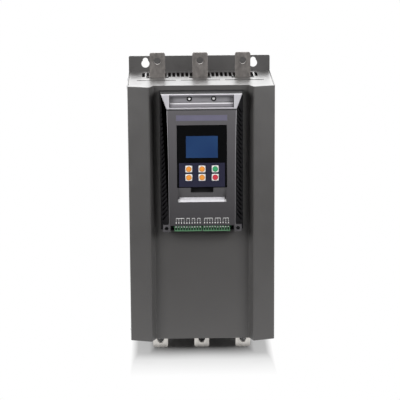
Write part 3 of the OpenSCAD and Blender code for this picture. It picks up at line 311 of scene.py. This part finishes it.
def trimFinish(s):
    # silver paint; in the pocket painted shade darkens the bar, slope, floor, upper band, ends and foot, and
    # a painted highlight lights the lip between bar and floor; the counterbores, deeper than the floor, are
    # painted shade, black
    f = Finish("trimSilver", s["color"], s["rough"])
    place = f.axes()
    aside = f.absolute(place["X"])
    low, high, span, _ = size("top_trim")
    silver = f.blend(f.noise(*s["patch"]), *s["silver"])
    # painted shade and a painted highlight in steps up the pocket
    stops = s["zones"] + [(span[2] - s["upper"], s["upperBandShade"])]
    zones = f.steps(f.spread(place["Z"], 0, 1, low[2], high[2]), [(z / span[2], tone) for z, tone in stops])
    atEnds = f.within(aside, s["half"] - s["end"], 1)
    atFoot = f.within(place["Z"], -1, low[2] + s["lower"] + s["foot"])
    # painted shade at the pocket's ends and along its foot
    withCornerShade = f.mixColor(f.math("MAXIMUM", atEnds, atFoot), zones, s["cornerShade"])
    tall = f.within(place["Z"], low[2] + s["lower"], high[2] - s["line"])
    inside = f.product(f.within(aside, -1, s["half"]), tall)
    deep = f.spread(place["Y"], 0, 1, low[1] + s["bore"], low[1] + s["bore"] + s["boreSoft"])
    # painted black shade in the counterbores
    f.paint(f.mixColor(deep, f.mixColor(inside, silver, withCornerShade), s["bare"]))
    f.grain(s)
    return f.mat


fasciaLook = {
    "color": (0.095, 0.09, 0.096), "rough": 0.4, "coat": 0.6, "coatRough": 0.14,
    "patch": (25, 2), "tint": 0.06,
    "face": ((0.05, 0.0475, 0.051), (0.116, 0.111, 0.118)),  # at the foot, at the top: lighter upwards, painted light from above
    # painted highlight on the rounded side edges, strongest at the top
    "edgeHighlight": ((0.08, 0.076, 0.082), (0.42, 0.41, 0.43)),
    "rim": (0.2 * mm, 2.1 * mm), "aside": 46.4 * mm,  # depth of the rounded edges, how far out they start
    # the seam's tone is painted shade under the trim
    "seam": 1.6 * mm, "seamShade": (0.03, 0.029, 0.031),
    # the notch's tone is painted shade
    "notch": 8.4 * mm, "notchSoft": 0.4 * mm, "notchShade": (0.006, 0.006, 0.007),
}


def fasciaFinish(s):
    # dark grey, lighter upwards as painted light from above; a painted highlight lights the rounded edges
    # near the top, and painted shade darkens the seam under the trim and the finger notch
    coat = {"Coat Weight": s["coat"], "Coat Roughness": s["coatRough"]}
    f = Finish("fasciaGrey", s["color"], s["rough"], coat)
    place = f.axes()
    low, high, _, _ = size("control_fascia")
    tall = f.spread(place["Z"], 0, 1, low[2], high[2])
    patch = f.spread(f.noise(*s["patch"]), 1 - s["tint"], 1 + s["tint"])
    # lighter upwards: painted light from above, with patches of tone
    face = f.mixColor(f.product(tall, patch), *s["face"])
    rim = f.within(place["Y"], *(low[1] + v for v in s["rim"]))
    edge = f.product(rim, f.within(f.absolute(place["X"]), s["aside"], 1))
    # painted highlight on the rounded side edges
    grey = f.mixColor(edge, face, f.mixColor(tall, *s["edgeHighlight"]))
    # painted shade in the seam under the trim
    grey = f.mixColor(f.within(place["Z"], high[2] - s["seam"], 1), grey, s["seamShade"])
    # painted black shade in the finger notch
    deep = f.spread(place["Y"], 0, 1, low[1] + s["notch"], low[1] + s["notch"] + s["notchSoft"])
    f.paint(f.mixColor(deep, grey, s["notchShade"]))
    f.grain(grains["moulded"])
    return f.mat


screwFaceLook = {"color": (0.9, 0.9, 0.9), "rough": 0.35, "disc": 2.2 * mm, "discSoft": 0.3 * mm,
                 "patch": (600, 2), "headHighlight": ((0.86, 0.86, 0.86), (0.96, 0.96, 0.96)),
                 # the rim's black is painted shade of the counterbore
                 "rim": (0.008, 0.008, 0.008)}


def screwFaceFinish(s):
    # black rim, painted shade of the counterbore, round a pale middle, a painted highlight on the head:
    # the distance from each screw's axis comes from the Object coordinates
    f = Finish("trimScrew", s["color"], s["rough"])
    place = f.axes()
    _, high, span, mid = size("trim_screws")
    aside = f.math("SUBTRACT", f.absolute(place["X"]), high[0] - span[2] / 2)
    up = f.math("SUBTRACT", place["Z"], mid[2])
    away = f.math("SQRT", f.math("ADD", f.product(aside, aside), f.product(up, up)))
    rim = f.spread(away, 0, 1, s["disc"], s["disc"] + s["discSoft"])
    # painted highlight in the middle, painted shade at the rim
    f.paint(f.mixColor(rim, f.blend(f.noise(*s["patch"]), *s["headHighlight"]), s["rim"]))
    g = grains["metal"]
    f.relief(f.noise(*g["relief"]), g["deep"], g["strength"])
    return f.mat


terminalLook = {"color": (0.12, 0.3, 0.15), "rough": 0.4, "span": (-0.04, 0.06), "patch": (60, 2),
                # the mouth's tone is painted shade of a wire opening
                "green": ((0.08, 0.205, 0.105), (0.105, 0.243, 0.13)), "mouth": (0.006, 0.014, 0.009),
                "pitch": 5.08 * mm, "halfWide": 0.34, "tall": (1.9 * mm, 7.5 * mm)}


def terminalFinish(s):
    # green moulding with a dark mouth at each pole, counted from the middle of the block; the dark is
    # painted shade for the wire openings
    f = Finish("terminalGreen", s["color"], s["rough"])
    place = f.axes()
    low, _, _, mid = size("terminal_block_right")
    along = f.math("SUBTRACT", f.absolute(place["X"]), mid[0])
    pole = f.math("FRACT", f.product(along, 1 / s["pitch"]))
    fromMiddle = f.absolute(f.math("SUBTRACT", pole, 0.5))  # in pitches, from the middle of the pole
    near = f.within(fromMiddle, -1, s["halfWide"])
    mouth = f.product(near, f.within(place["Z"], *(low[2] + v for v in s["tall"])))
    # painted shade at each pole's wire opening
    f.paint(f.mixColor(mouth, f.blend(f.noise(*s["patch"]), *s["green"]), s["mouth"]))
    f.grain({**grains["moulded"], "span": s["span"]})
    return f.mat


screenLook = {"color": (0.022, 0.058, 0.155), "rough": 0.2, "patch": (14, 1),
              "blue": ((0.017, 0.045, 0.13), (0.028, 0.072, 0.18)),
              "lines": 320, "lineShare": 0.25, "line": (0.012, 0.035, 0.11)}


def screenFinish(s):
    # blue display: soft lighter patches under fine upright lines
    f = Finish("displayBlue", s["color"], s["rough"])
    lines = f.node("ShaderNodeTexWave", wave_type="BANDS", bands_direction="X")
    lines.inputs["Scale"].default_value = s["lines"]
    f.link(f.coords.outputs["Object"], lines.inputs["Vector"])
    blue = f.blend(f.noise(*s["patch"]), *s["blue"])
    f.paint(f.mixColor(f.spread(lines.outputs["Fac"], 0, s["lineShare"], 0, 1), blue, s["line"]))
    return f.mat


keyFaceLook = {"cap": (0.82, 0.8, 0.77), "rough": 0.32, "disc": (0.39, 0.43), "ring": (0.28, 0.34),
               "ringTone": 0.72, "relief": (700, 2), "deep": 0.01 * mm, "strength": 0.3}


def keyFinish(name, disc, s=keyFaceLook):
    # white cap with a coloured disc in a darker ring: the distance from the key's middle, in key widths,
    # comes from its own UV map
    f = Finish(name, s["cap"], s["rough"])
    away = f.node("ShaderNodeVectorMath", operation="LENGTH")
    f.link(f.node("ShaderNodeUVMap", uv_map="place").outputs["UV"], away.inputs[0])
    ring = f.spread(away.outputs["Value"], 0, 1, *s["ring"])
    inner = f.mixColor(ring, disc, tuple(v * s["ringTone"] for v in disc))
    f.paint(f.mixColor(f.spread(away.outputs["Value"], 1, 0, *s["disc"]), s["cap"], inner))
    f.relief(f.noise(*s["relief"]), s["deep"], s["strength"])
    return f.mat


bareMetal = {"Metallic": 1.0}
finishes = {
    "paint": paintFinish("greyPowderCoat", 1.0),
    "sink": plainFinish("sinkAluminium", "metal", (0.76, 0.77, 0.78), 0.38, bareMetal),
    "line_copper": plainFinish("lineTin", "oldTin", (0.205, 0.19, 0.18), 0.45, {"Metallic": 0.55}),
    "load_copper": plainFinish("loadTin", "tin", (0.8, 0.77, 0.73), 0.32, bareMetal),
    "post": plainFinish("postRed", "moulded", (0.2, 0.022, 0.016), 0.4),
    "module": plainFinish("moduleBlack", "moulded", (0.012, 0.012, 0.014), 0.45),
    "sensor": plainFinish("sensorBlack", "moulded", (0.02, 0.02, 0.024), 0.45),
    "fan_frame": plainFinish("fanFrameBlack", "moulded", (0.012, 0.012, 0.012), 0.45),
    "fan_rotor": plainFinish("fanRotorBlack", "moulded", (0.018, 0.018, 0.02), 0.42),
    "housing": plainFinish("housingBlack", "moulded", (0.012, 0.0115, 0.013), 0.62, {"IOR": 1.25}),
    "fascia": fasciaFinish(fasciaLook),
    "trim": trimFinish(trimLook),
    "label": plainFinish("labelFilm", "smooth", (0.15, 0.143, 0.2), 0.3),
    "keypad": plainFinish("keypadBlack", "smooth", (0.003, 0.0031, 0.0036), 0.22, {"IOR": 1.4}),
    "display": screenFinish(screenLook),
    "key_panel": plainFinish("keyPanelBlue", "smooth", (0.022, 0.022, 0.045), 0.34),
    "key_orange": keyFinish("keyOrange", (0.86, 0.32, 0.05)),
    "key_green": keyFinish("keyGreen", (0.05, 0.36, 0.15)),
    "key_red": keyFinish("keyRed", (0.6, 0.045, 0.07)),
    "board": plainFinish("boardGreen", "smooth", (0.012, 0.1, 0.035), 0.4),
    "terminal": terminalFinish(terminalLook),
    "zinc": plainFinish("zincPlate", "metal", (0.78, 0.78, 0.79), 0.4, {"Metallic": 0.35}),
    "screw_black": plainFinish("blackScrew", "metal", (0.03, 0.03, 0.032), 0.4, bareMetal),
}
special = {  # nodes that look unlike the rest of their slot
    "front_cover": paintFinish("coverPowderCoat", 0.5),
    "trim_screws": screwFaceFinish(screwFaceLook),
    # silver, a little lighter than the trim's: partly a painted highlight on the upward-facing ledge
    "lower_ledge": plainFinish("ledgeSilver", "metal", (0.58, 0.57, 0.6), 0.36),
    # a lighter, non-metal copy of the zinc: painted highlight on the clamp screws
    "clamp_screws": plainFinish("zincPaintedHighlight", "metal", (0.95, 0.95, 0.95), 0.35),
}
printWhite = plainFinish("printWhite", "smooth", (0.8, 0.8, 0.79), 0.4)
slotOf = {s["node"]: s["material_slot"] for s in frame["record"]["subparts"]}


def finishOf(node):
    return special.get(node, finishes[slotOf[node]])


def wear(piece, finish):
    piece.data.materials.append(finish)


for nodeName, nodeObject in frame["nodes"].items():
    nodeObject.data.materials.clear()
    wear(nodeObject, finishOf(nodeName))
print("finishes:", len(finishes) + len(special))


# folded front cover

coverLook = {"sheet": 1.5 * mm, "bend": 1.75 * mm, "wing": 40.5 * mm, "flank": 8.2 * mm, "side": 182 * mm,
             "sink": 19 * mm, "edge": 0.45 * mm, "rest": 0.3 * mm, "bendSteps": 8, "edgeSteps": 4,
             "crease": 30}


def bentPath(corners, radius, rest, steps):
    # straight runs joined by arcs: at each corner the outward normal sweeps from one run's to the next's,
    # with one more point on the straight either side of the arc, so that the flats shade flat
    ways = np.diff(corners, axis=0)
    ways = ways / np.linalg.norm(ways, axis=1, keepdims=True)
    right = np.stack([ways[:, 1], -ways[:, 0]], -1)  # to the right of the path: outwards
    points, normals = [corners[:1]], [right[:1]]
    for here, u, v in zip(corners[1:-1], ways[:-1], ways[1:]):
        turn = np.arctan2(u[0] * v[1] - u[1] * v[0], u @ v)
        a = np.arctan2(u[1], u[0]) + np.linspace(0, turn, steps)
        n = np.stack([np.sin(a), -np.cos(a)], -1)
        arc = here - u * radius * np.tan(abs(turn) / 2) + np.sign(turn) * radius * (n - n[0])
        points += [arc[:1] - u * rest, arc, arc[-1:] + v * rest]
        normals += [n[:1], n, n[-1:]]
    return np.concatenate(points + [corners[-1:]]), np.concatenate(normals + [right[-1:]])


def foldedCover(s):
    # the bent path, half a sheet to either side, carried upwards; at the lower and upper edge the thickness
    # grows from nothing round a small arc
    low, high, _, _ = size("front_cover")
    half, t = high[0], s["sheet"]
    ridge, rear = low[1], high[1]
    left = np.array([[-half + t / 2, rear], [-half + t / 2, -s["side"]], [-half + s["wing"], ridge],
                     [-half + s["wing"] + s["flank"], ridge + s["sink"]]])
    left[1:, 1] += t / 2  # the middle of the sheet lies half a sheet inside
    right = left[::-1] * [-1, 1]
    path, normal = bentPath(np.concatenate([left, right]), s["bend"], s["rest"], s["bendSteps"])
    a = quarterTurn(s["edgeSteps"])
    thick = np.concatenate([[0], t / 2 - s["edge"] * (1 - np.sin(a)), [t / 2]])
    rise = np.concatenate([[0], s["edge"] * (1 - np.cos(a)), [s["edge"] + s["rest"]]])
    z = np.concatenate([low[2] + rise, high[2] - rise[::-1]])
    h = np.concatenate([thick, thick[::-1]])[:, None, None]
    ring = np.concatenate([path + normal * h, (path - normal * h)[:, ::-1]], 1)
    grid = np.concatenate([ring, np.broadcast_to(z[:, None, None], ring.shape[:2] + (1,))], -1)
    return skinGrid("foldedCover", grid[None], "enclosure", ["front_cover"], s["crease"])


# flat bars with rounded edges

barLook = {"corner": 4 * mm, "tail": 0.8 * mm, "edge": 0.6 * mm, "hole": 6.5 * mm, "holeEnd": 16 * mm,
           "chamfer": 0.5 * mm, "arc": 7, "rays": 72, "clear": 1.05, "edgeSteps": 5, "crease": 40}


def roundedOutline(low, high, radii, steps):
    # a rectangle whose four corners are quarter arcs, with the outward normal at each point
    corners = np.array([[high[0], high[1]], [low[0], high[1]], [low[0], low[1]], [high[0], low[1]]])
    signs = np.array([[1, 1], [-1, 1], [-1, -1], [1, -1]])
    a = quarterTurn(steps)[None] + np.arange(4)[:, None] * pi / 2
    n = np.stack([np.cos(a), np.sin(a)], -1)
    r = np.asarray(radii)[:, None, None]
    return ((corners - signs * r[:, :, 0])[:, None] + r * n).reshape(-1, 2), n.reshape(-1, 2)


def edgeHits(low, high, radii, eye, steps, clear):
    # where evenly turned rays from the eye leave the rectangle's straight edges, with the edges' outward
    # normals; a hit nearer to a corner than its radius times clear is left to the arc
    a = fullTurn(steps)
    way = np.stack([np.cos(a), np.sin(a)], -1)
    tiny = 1e-9  # in place of zero, where a way runs along an edge
    reach = np.where(way > 0, high - eye, low - eye) / np.where(np.abs(way) < tiny, tiny, way)
    hit = eye + way * reach.min(1, keepdims=True)
    axis = reach.argmin(1)
    normal = np.eye(2)[axis] * np.sign(way)
    corner = (hit[:, 1] < eye[1]) * 2 + ((hit[:, 0] > eye[0]) == (hit[:, 1] < eye[1]))
    room = np.minimum(hit - low, high - hit)
    keep = np.take_along_axis(room, 1 - axis[:, None], 1)[:, 0] > np.asarray(radii)[corner] * clear
    return hit[keep], normal[keep]


def flatBar(node, s, top):
    # rings from the lug hole out across the front, round the edge and back behind,
    # with one point of each ring on each ray from the hole
    low, high, _, mid = size(node)
    tip, tail = s["corner"], s["tail"]
    radii = [tip, tip, tail, tail] if top else [tail, tail, tip, tip]
    low2, high2 = low[[0, 2]], high[[0, 2]]
    hole = np.array([mid[0], high[2] - s["holeEnd"] if top else low[2] + s["holeEnd"]])
    arcs = roundedOutline(low2, high2, radii, s["arc"])
    hits = edgeHits(low2, high2, radii, hole, s["rays"], s["clear"])
    outline, normal = (np.concatenate(v) for v in zip(arcs, hits))
    ray = outline - hole
    order = np.argsort(np.arctan2(ray[:, 1], ray[:, 0]))
    outline, normal, ray = outline[order], normal[order], ray[order]
    ray = ray / np.linalg.norm(ray, axis=1, keepdims=True)
    a = quarterTurn(s["edgeSteps"])
    inset, drop = s["edge"] * (1 - np.sin(a)), s["edge"] * (1 - np.cos(a))
    bore, mouth = hole + ray * s["hole"], hole + ray * (s["hole"] + s["chamfer"])
    front, back = low[1], high[1]
    rings = [(bore, front + s["chamfer"]), (mouth, front)]
    rings += [(outline - normal * i, front + d) for i, d in zip(inset, drop)]
    rings += [(outline - normal * i, back - d) for i, d in zip(inset[::-1], drop[::-1])]
    rings += [(mouth, back), (bore, back - s["chamfer"])]
    grid = np.stack([np.stack([p[:, 0], np.full(len(p), y), p[:, 1]], -1) for p, y in rings])
    name = node.replace("_bar", "Bar")
    return skinGrid(name, grid[None], "enclosure", [node], s["crease"], wrapRows=True)


# keys

keyLook = {"lip": 1.1 * mm, "dome": 0.35 * mm, "edge": 0.7 * mm, "square": 7.0,
           "domeRings": (0.9, 0.7, 0.5, 0.3, 0.1, 0.01), "around": 64, "edgeSteps": 5,
           "flange": 4.2 * mm, "flangeThick": 1.2 * mm, "flangeSquare": 14,
           "stem": 2 * mm, "tip": 0.02 * mm, "crease": 40}


def keyCap(node, body, s):
    # rings of a rounded square, from the stem's tip to the middle of the dome: half width times cos and sin,
    # each raised to 2/n, with a large n for the cap and 2, a circle, for the stem
    low, high, span, mid = size(node)
    wide = span[0] / 2
    half = wide - s["lip"]
    front, back = low[1], high[1]
    flange = front + s["flange"]
    rear = flange + s["flangeThick"]
    n, circle = s["square"], 2
    rows = [(s["tip"], back, circle), (s["stem"], back, circle), (s["stem"], rear, circle),
            (wide, rear, s["flangeSquare"]), (wide, flange, s["flangeSquare"]), (half, flange, n)]
    rows += [(half - s["edge"] * (1 - cos(v)), front + s["dome"] + s["edge"] * (1 - sin(v)), n)
             for v in quarterTurn(s["edgeSteps"])]
    rows += [((half - s["edge"]) * q, front + s["dome"] * q ** 3, n * q + circle * (1 - q))
             for q in s["domeRings"]]
    r, y, n = (np.array(v)[:, None] for v in zip(*rows))
    u = fullTurn(s["around"])[None]
    c, d = np.cos(u), np.sin(u)
    x = r * np.sign(c) * np.abs(c) ** (2 / n)
    z = r * np.sign(d) * np.abs(d) ** (2 / n)
    grid = np.stack([x + mid[0], np.broadcast_to(y, x.shape), z + mid[2]], -1)

    def fromMiddle(points):
        # in key widths
        return (points[:, [0, 2]] - mid[[0, 2]]) / (2 * half)

    name = node.replace("key_", "keyCap_")
    return skinGrid(name, grid[None], body, [node], s["crease"], capEnds=True,
                    formula=fromMiddle)


# white marks above the terminals: a dot for each pole, a leader up from it and a bar over each group

markLook = {"lift": 0.03 * mm, "pitch": 5.08 * mm, "gap": 3.4 * mm, "poles": 10, "cut": 0.28, "crease": 30,
            "dot": (1.6 * mm, 2.6 * mm), "dotUp": 6.6 * mm, "leader": (0.45 * mm, 6.4 * mm),
            "leaderUp": 12 * mm, "bar": 0.9 * mm, "barUp": 15.6 * mm,
            "groups": [(0, 3), (4, 5), (6, 7), (8, 9), (10, 13), (14, 16), (17, 19)]}


def terminalMarks(s):
    # each mark is a thin eight-sided slab: a rectangle's outline with its corners cut, carried forwards
    front = size("control_fascia")[0][1]
    foot = size("terminal_block_left")[1][2]
    pole = np.arange(2 * s["poles"])
    x = (pole - s["poles"] + 0.5) * s["pitch"] + np.where(pole < s["poles"], -0.5, 0.5) * s["gap"]
    first, last = x[np.array(s["groups"]).T]

    def row(at, up, wide, tall):
        # middle across, middle upwards, width and height of each mark
        return np.stack(np.broadcast_arrays(at, foot + up, wide, tall), -1)

    marks = np.concatenate([row(x, s["dotUp"], *s["dot"]), row(x, s["leaderUp"], *s["leader"]),
                            row((first + last) / 2, s["barUp"], last - first + s["leader"][0], s["bar"])])
    half = marks[:, None, 2:] / 2
    cut = half.min(-1, keepdims=True) * 2 * s["cut"]
    sign = np.array([(1, 1), (1, -1), (-1, -1), (-1, 1)]).repeat(2, 0)
    whole = np.array([(0, 1), (1, 0), (1, 0), (0, 1)] * 2)  # two points a corner, each cut along one side
    flat = marks[:, None, :2] + sign * (half - cut * (1 - whole))
    both = np.stack([flat, flat], 1)
    y = np.broadcast_to(np.array([front, front - s["lift"]])[:, None, None], both.shape[:3] + (1,))
    grids = np.concatenate([both[..., :1], y, both[..., 1:]], -1)
    return skinGrid("terminalMarks", grids, "enclosure", (), s["crease"], capEnds=True)


wear(terminalMarks(markLook), printWhite)
wear(foldedCover(coverLook), finishOf("front_cover"))
for side in ("left", "mid", "right"):
    for kind, top in (("line", True), ("load", False)):
        node = kind + "_bar_" + side
        wear(flatBar(node, barLook, top), finishOf(node))
behaviour = frame["record"]["behaviour"]
for joint in behaviour["joints"]:
    if joint["child"].endswith("_key"):
        node = behaviour["bodies"][joint["child"]][0]
        wear(keyCap(node, joint["child"], keyLook), finishOf(node))
print("cover, bars, keys and marks made")


# cross-recessed screws that show: two in the trim's pocket, two in the ears, eight on the sides

screwLook = {"around": 48, "tip": 0.01 * mm, "wall": 0.35, "crownTurn": (0.25, 1.35, 6), "crownPower": 0.6,
             "rings": (0.62, 0.56, 0.48, 0.38, 0.28, 0.2, 0.14, 0.08, 0.01), "top": 0.98,
             "slotWide": 0.16, "slotSoft": 0.05, "slotReach": 0.62, "reachSoft": 0.08, "slotDeep": 0.5,
             "crease": 40,
             "small": {"shank": 1.5 * mm, "long": 10 * mm},
             "side": {"head": 4 * mm, "tall": 2.2 * mm, "shank": 2 * mm, "long": 9 * mm}}


def screwSkin(s, head, tall, shank, long):
    # rows turned about the axis, from the shank's tip to the crown, whose radius is a power of cos as its
    # height is sin; a cross is pressed into the top
    rows = [(s["tip"], -long), (shank, -long), (shank, 0), (head, 0), (head, s["wall"] * tall)]
    rows += [(head * cos(a) ** s["crownPower"], tall * (s["wall"] + (1 - s["wall"]) * sin(a)))
             for a in np.linspace(*s["crownTurn"])]
    rows += [(head * q, tall) for q in s["rings"]]
    r, h = (np.array(v)[:, None] for v in zip(*rows))
    u = fullTurn(s["around"])[None]
    x, y = r * np.cos(u), r * np.sin(u)
    arm = np.minimum(np.abs(x), np.abs(y)) / head
    cut = np.clip((s["slotWide"] - arm) / s["slotSoft"], 0, 1)
    cut = cut * np.clip((s["slotReach"] - r / head) / s["reachSoft"], 0, 1)
    cut = np.where(h >= tall * s["top"], cut, 0)
    return np.stack([x, y, h - cut * s["slotDeep"] * tall], -1)


def screwSet(name, node, slot, s, places, ways, **sizes):
    # the same screw at each place, its axis turned along the outward way
    skin = screwSkin(s, **sizes)
    turns = [np.array(Vector((0, 0, 1)).rotation_difference(Vector(way)).to_matrix()) for way in ways]
    grids = np.stack([skin @ turn.T + place for turn, place in zip(turns, places)])
    return skinGrid(name, grids, "enclosure", [node], s["crease"], capEnds=True)


def frontPair(name, node, slot, s):
    # two screws side by side, heads to the front
    low, high, span, mid = size(node)
    head = span[2] / 2
    tall = span[1] - s["small"]["long"]
    places = [(x, low[1] + tall, mid[2]) for x in (low[0] + head, high[0] - head)]
    return screwSet(name, node, slot, s, places, [(0, -1, 0)] * 2, head=head, tall=tall, **s["small"])


def sideScrews(s):
    # four on each side of the cover, heads outwards
    low, high, _, _ = size("cover_screws")
    half = size("front_cover")[1][0]
    low, high = low + s["side"]["head"], high - s["side"]["head"]
    places = [(x * half, y, z) for x in (-1, 1) for y in (low[1], high[1]) for z in (low[2], high[2])]
    ways = [(np.sign(p[0]), 0, 0) for p in places]
    return screwSet("coverScrews", "cover_screws", "zinc", s, places, ways, **s["side"])


wear(frontPair("trimScrews", "trim_screws", "zinc", screwLook), finishOf("trim_screws"))
wear(frontPair("earScrews", "ear_screws", "screw_black", screwLook), finishOf("ear_screws"))
wear(sideScrews(screwLook), finishOf("cover_screws"))
print("screws made")


# camera at the photograph's viewing angle

cameraLook = {"place": (-0.0664, -3.5536, 1.0917), "yaw": 1.066, "pitch": 13.52, "roll": -0.37,
              "lens": 162.4, "sensor": 36}


def photoCamera(s):
    yaw, pitch, roll = (radians(s[k]) for k in ("yaw", "pitch", "roll"))
    ahead = Vector((sin(yaw) * cos(pitch), cos(yaw) * cos(pitch), -sin(pitch)))
    right = Vector((cos(yaw), -sin(yaw), 0))
    up = right.cross(ahead)
    side = cos(roll) * right + sin(roll) * up
    above = -sin(roll) * right + cos(roll) * up
    lens = bpy.data.cameras.new("photoCamera")
    lens.lens = s["lens"]
    lens.sensor_width = s["sensor"]
    eye = bpy.data.objects.new("photoCamera", lens)
    turn = Matrix((side, above, -ahead)).transposed()
    eye.matrix_world = Matrix.Translation(s["place"]) @ turn.to_4x4()
    bpy.context.scene.collection.objects.link(eye)
    bpy.context.scene.camera = eye


photoCamera(cameraLook)
print("camera set")


# studio: a white table in a room that is dim in front, lit by soft boxes overhead, at both sides and behind

tableLook = {"tone": 0.45, "rough": 0.9, "ior": 1.02, "patch": (3, 2), "tint": 0.01,
             "wide": 1.3, "ahead": 0.62, "behind": 1.4,
             "back": (-0.01, 0.03), "side": (0.128, 0.142),  # where the white comes in, in metres
             # shares of glowing white over the shadow in front and beside it: painted lightening of the
             # shadow
             "front": (0.72, (0.081, 0.165), (0.17, 0.26)), "flank": (0.36, (0.09, 0.105)),
             # for glossy rays the table glows: painted pale reflections of it in the object
             "glossFront": (0.75, (0.075, 0.105), (0.17, 0.22)), "shine": (0.22, 0.36), "shineFar": 0.15}


def studioFloor(s, level):
    # away from the object the camera sees the table as plain white; nearer in, a share of glowing white
    # is laid over its shadow, a painted lightening of the shadow, which stays whole only by the object
    x, near, far = s["wide"], -s["ahead"], s["behind"]
    corners = [(-x, near, level), (x, near, level), (x, far, level), (-x, far, level)]
    mesh = bpy.data.meshes.new("studioFloor")
    mesh.from_pydata(corners, [], [(0, 1, 2, 3)])
    floor = bpy.data.objects.new("studioFloor", mesh)
    bpy.context.scene.collection.objects.link(floor)
    f = Finish("studioFloor", (s["tone"],) * 3, s["rough"], {"IOR": s["ior"]})
    f.vary(f.noise(*s["patch"]), s["tint"])
    place = f.axes()
    aside = f.absolute(place["X"])
    ahead = f.product(place["Y"], -1)
    behind = f.spread(place["Y"], 0, 1, *s["back"])
    path = f.node("ShaderNodeLightPath")

    def twoSteps(fac, share, first, second):
        # a share of the white comes in over the first stretch, the rest over the second
        return f.math("ADD", f.spread(fac, 0, share, *first), f.spread(fac, 0, 1 - share, *second))

    def largest(a, b, c):
        return f.math("MAXIMUM", a, f.math("MAXIMUM", b, c))

    def mixShader(fac, a, b):
        mix = f.node("ShaderNodeMixShader")
        f.link(fac, mix.inputs["Fac"])
        f.link(a.outputs[0], mix.inputs[1])
        f.link(b.outputs[0], mix.inputs[2])
        return mix

    white = largest(twoSteps(aside, *s["flank"], s["side"]), twoSteps(ahead, *s["front"]), behind)
    # the table glows for glossy rays: painted pale reflections of it in the object
    shine = largest(f.spread(aside, 0, 1, *s["side"]), twoSteps(ahead, *s["glossFront"]), behind)
    shine = f.product(shine, f.spread(ahead, 1, s["shineFar"], *s["shine"]))  # less of it further on
    seen = f.math("MAXIMUM", f.product(white, path.outputs["Is Camera Ray"]),
                  f.product(shine, path.outputs["Is Glossy Ray"]))
    table = mixShader(seen, f.shader, f.node("ShaderNodeEmission"))
    under = f.node("ShaderNodeNewGeometry").outputs["Backfacing"]  # from below the table isn't in the way
    surface = mixShader(under, table, f.node("ShaderNodeBsdfTransparent"))
    f.link(surface.outputs[0], f.tree.nodes["Material Output"].inputs["Surface"])
    wear(floor, f.mat)


lampLook = {
    "overhead": {"place": (0, -0.3, 2.3), "aim": (0, -0.12, 0.4), "wide": 0.6, "tall": 0.6, "watts": 16},
    "side": {"place": (1.25, -1.3, 1.0), "aim": (0, -0.15, 0.35), "wide": 0.8, "tall": 0.8, "watts": 23},
    "back": {"place": (0, 1.15, 1.4), "aim": (0, -0.1, 0.5), "wide": 1.6, "tall": 1.0, "watts": 18},
}


def softBox(name, s, way=1):
    # way -1 puts the box on the other side
    lamp = bpy.data.lights.new(name, "AREA")
    lamp.shape = "RECTANGLE"
    lamp.size = s["wide"]
    lamp.size_y = s["tall"]
    lamp.energy = s["watts"]
    box = bpy.data.objects.new(name, lamp)
    x, y, z = s["place"]
    box.location = (way * x, y, z)
    box.rotation_euler = (Vector(s["aim"]) - box.location).to_track_quat("-Z", "Y").to_euler()
    bpy.context.scene.collection.objects.link(box)


worldLook = {"turn": (-0.75, 0.35),  # from the front to the back of the room, as the Y of a ray's direction
             "plain": (0.08, 0.16), "gloss": (0.03, 1.0)}  # strengths in front and behind


def studioWorld(s):
    # camera rays see white; other rays see a room that is dim in front and brighter behind
    world = bpy.data.worlds.new("studio")
    world.use_nodes = True
    bpy.context.scene.world = world
    tree = world.node_tree
    back = tree.nodes["Background"]
    back.inputs["Color"].default_value = (1, 1, 1, 1)
    path = tree.nodes.new("ShaderNodeLightPath")
    split = tree.nodes.new("ShaderNodeSeparateXYZ")
    tree.links.new(tree.nodes.new("ShaderNodeTexCoord").outputs["Generated"], split.inputs[0])

    def room(front, rear):
        ramp = tree.nodes.new("ShaderNodeMapRange")
        ramp.interpolation_type = "SMOOTHSTEP"
        for key, value in zip(("From Min", "From Max", "To Min", "To Max"), (*s["turn"], front, rear)):
            ramp.inputs[key].default_value = value
        tree.links.new(split.outputs["Y"], ramp.inputs["Value"])
        return ramp.outputs["Result"]

    def either(fac, a, b):
        # b where fac is 1, otherwise a
        mix = tree.nodes.new("ShaderNodeMix")
        tree.links.new(fac, mix.inputs["Factor"])
        tree.links.new(a, mix.inputs["A"])
        if isinstance(b, float):
            mix.inputs["B"].default_value = b
        else:
            tree.links.new(b, mix.inputs["B"])
        return mix.outputs["Result"]

    shiny = tree.nodes.new("ShaderNodeMath")
    shiny.operation = "MAXIMUM"
    tree.links.new(path.outputs["Is Glossy Ray"], shiny.inputs[0])
    tree.links.new(path.outputs["Is Transmission Ray"], shiny.inputs[1])
    light = either(shiny.outputs[0], room(*s["plain"]), room(*s["gloss"]))
    tree.links.new(either(path.outputs["Is Camera Ray"], light, 1.0), back.inputs["Strength"])


studioFloor(tableLook, cadBox[0][2])
softBox("overhead", lampLook["overhead"])
softBox("sideBoxL", lampLook["side"], -1)
softBox("sideBoxR", lampLook["side"])
softBox("backBox", lampLook["back"])
studioWorld(worldLook)
bpy.context.scene.view_settings.view_transform = "Standard"
print("studio set")
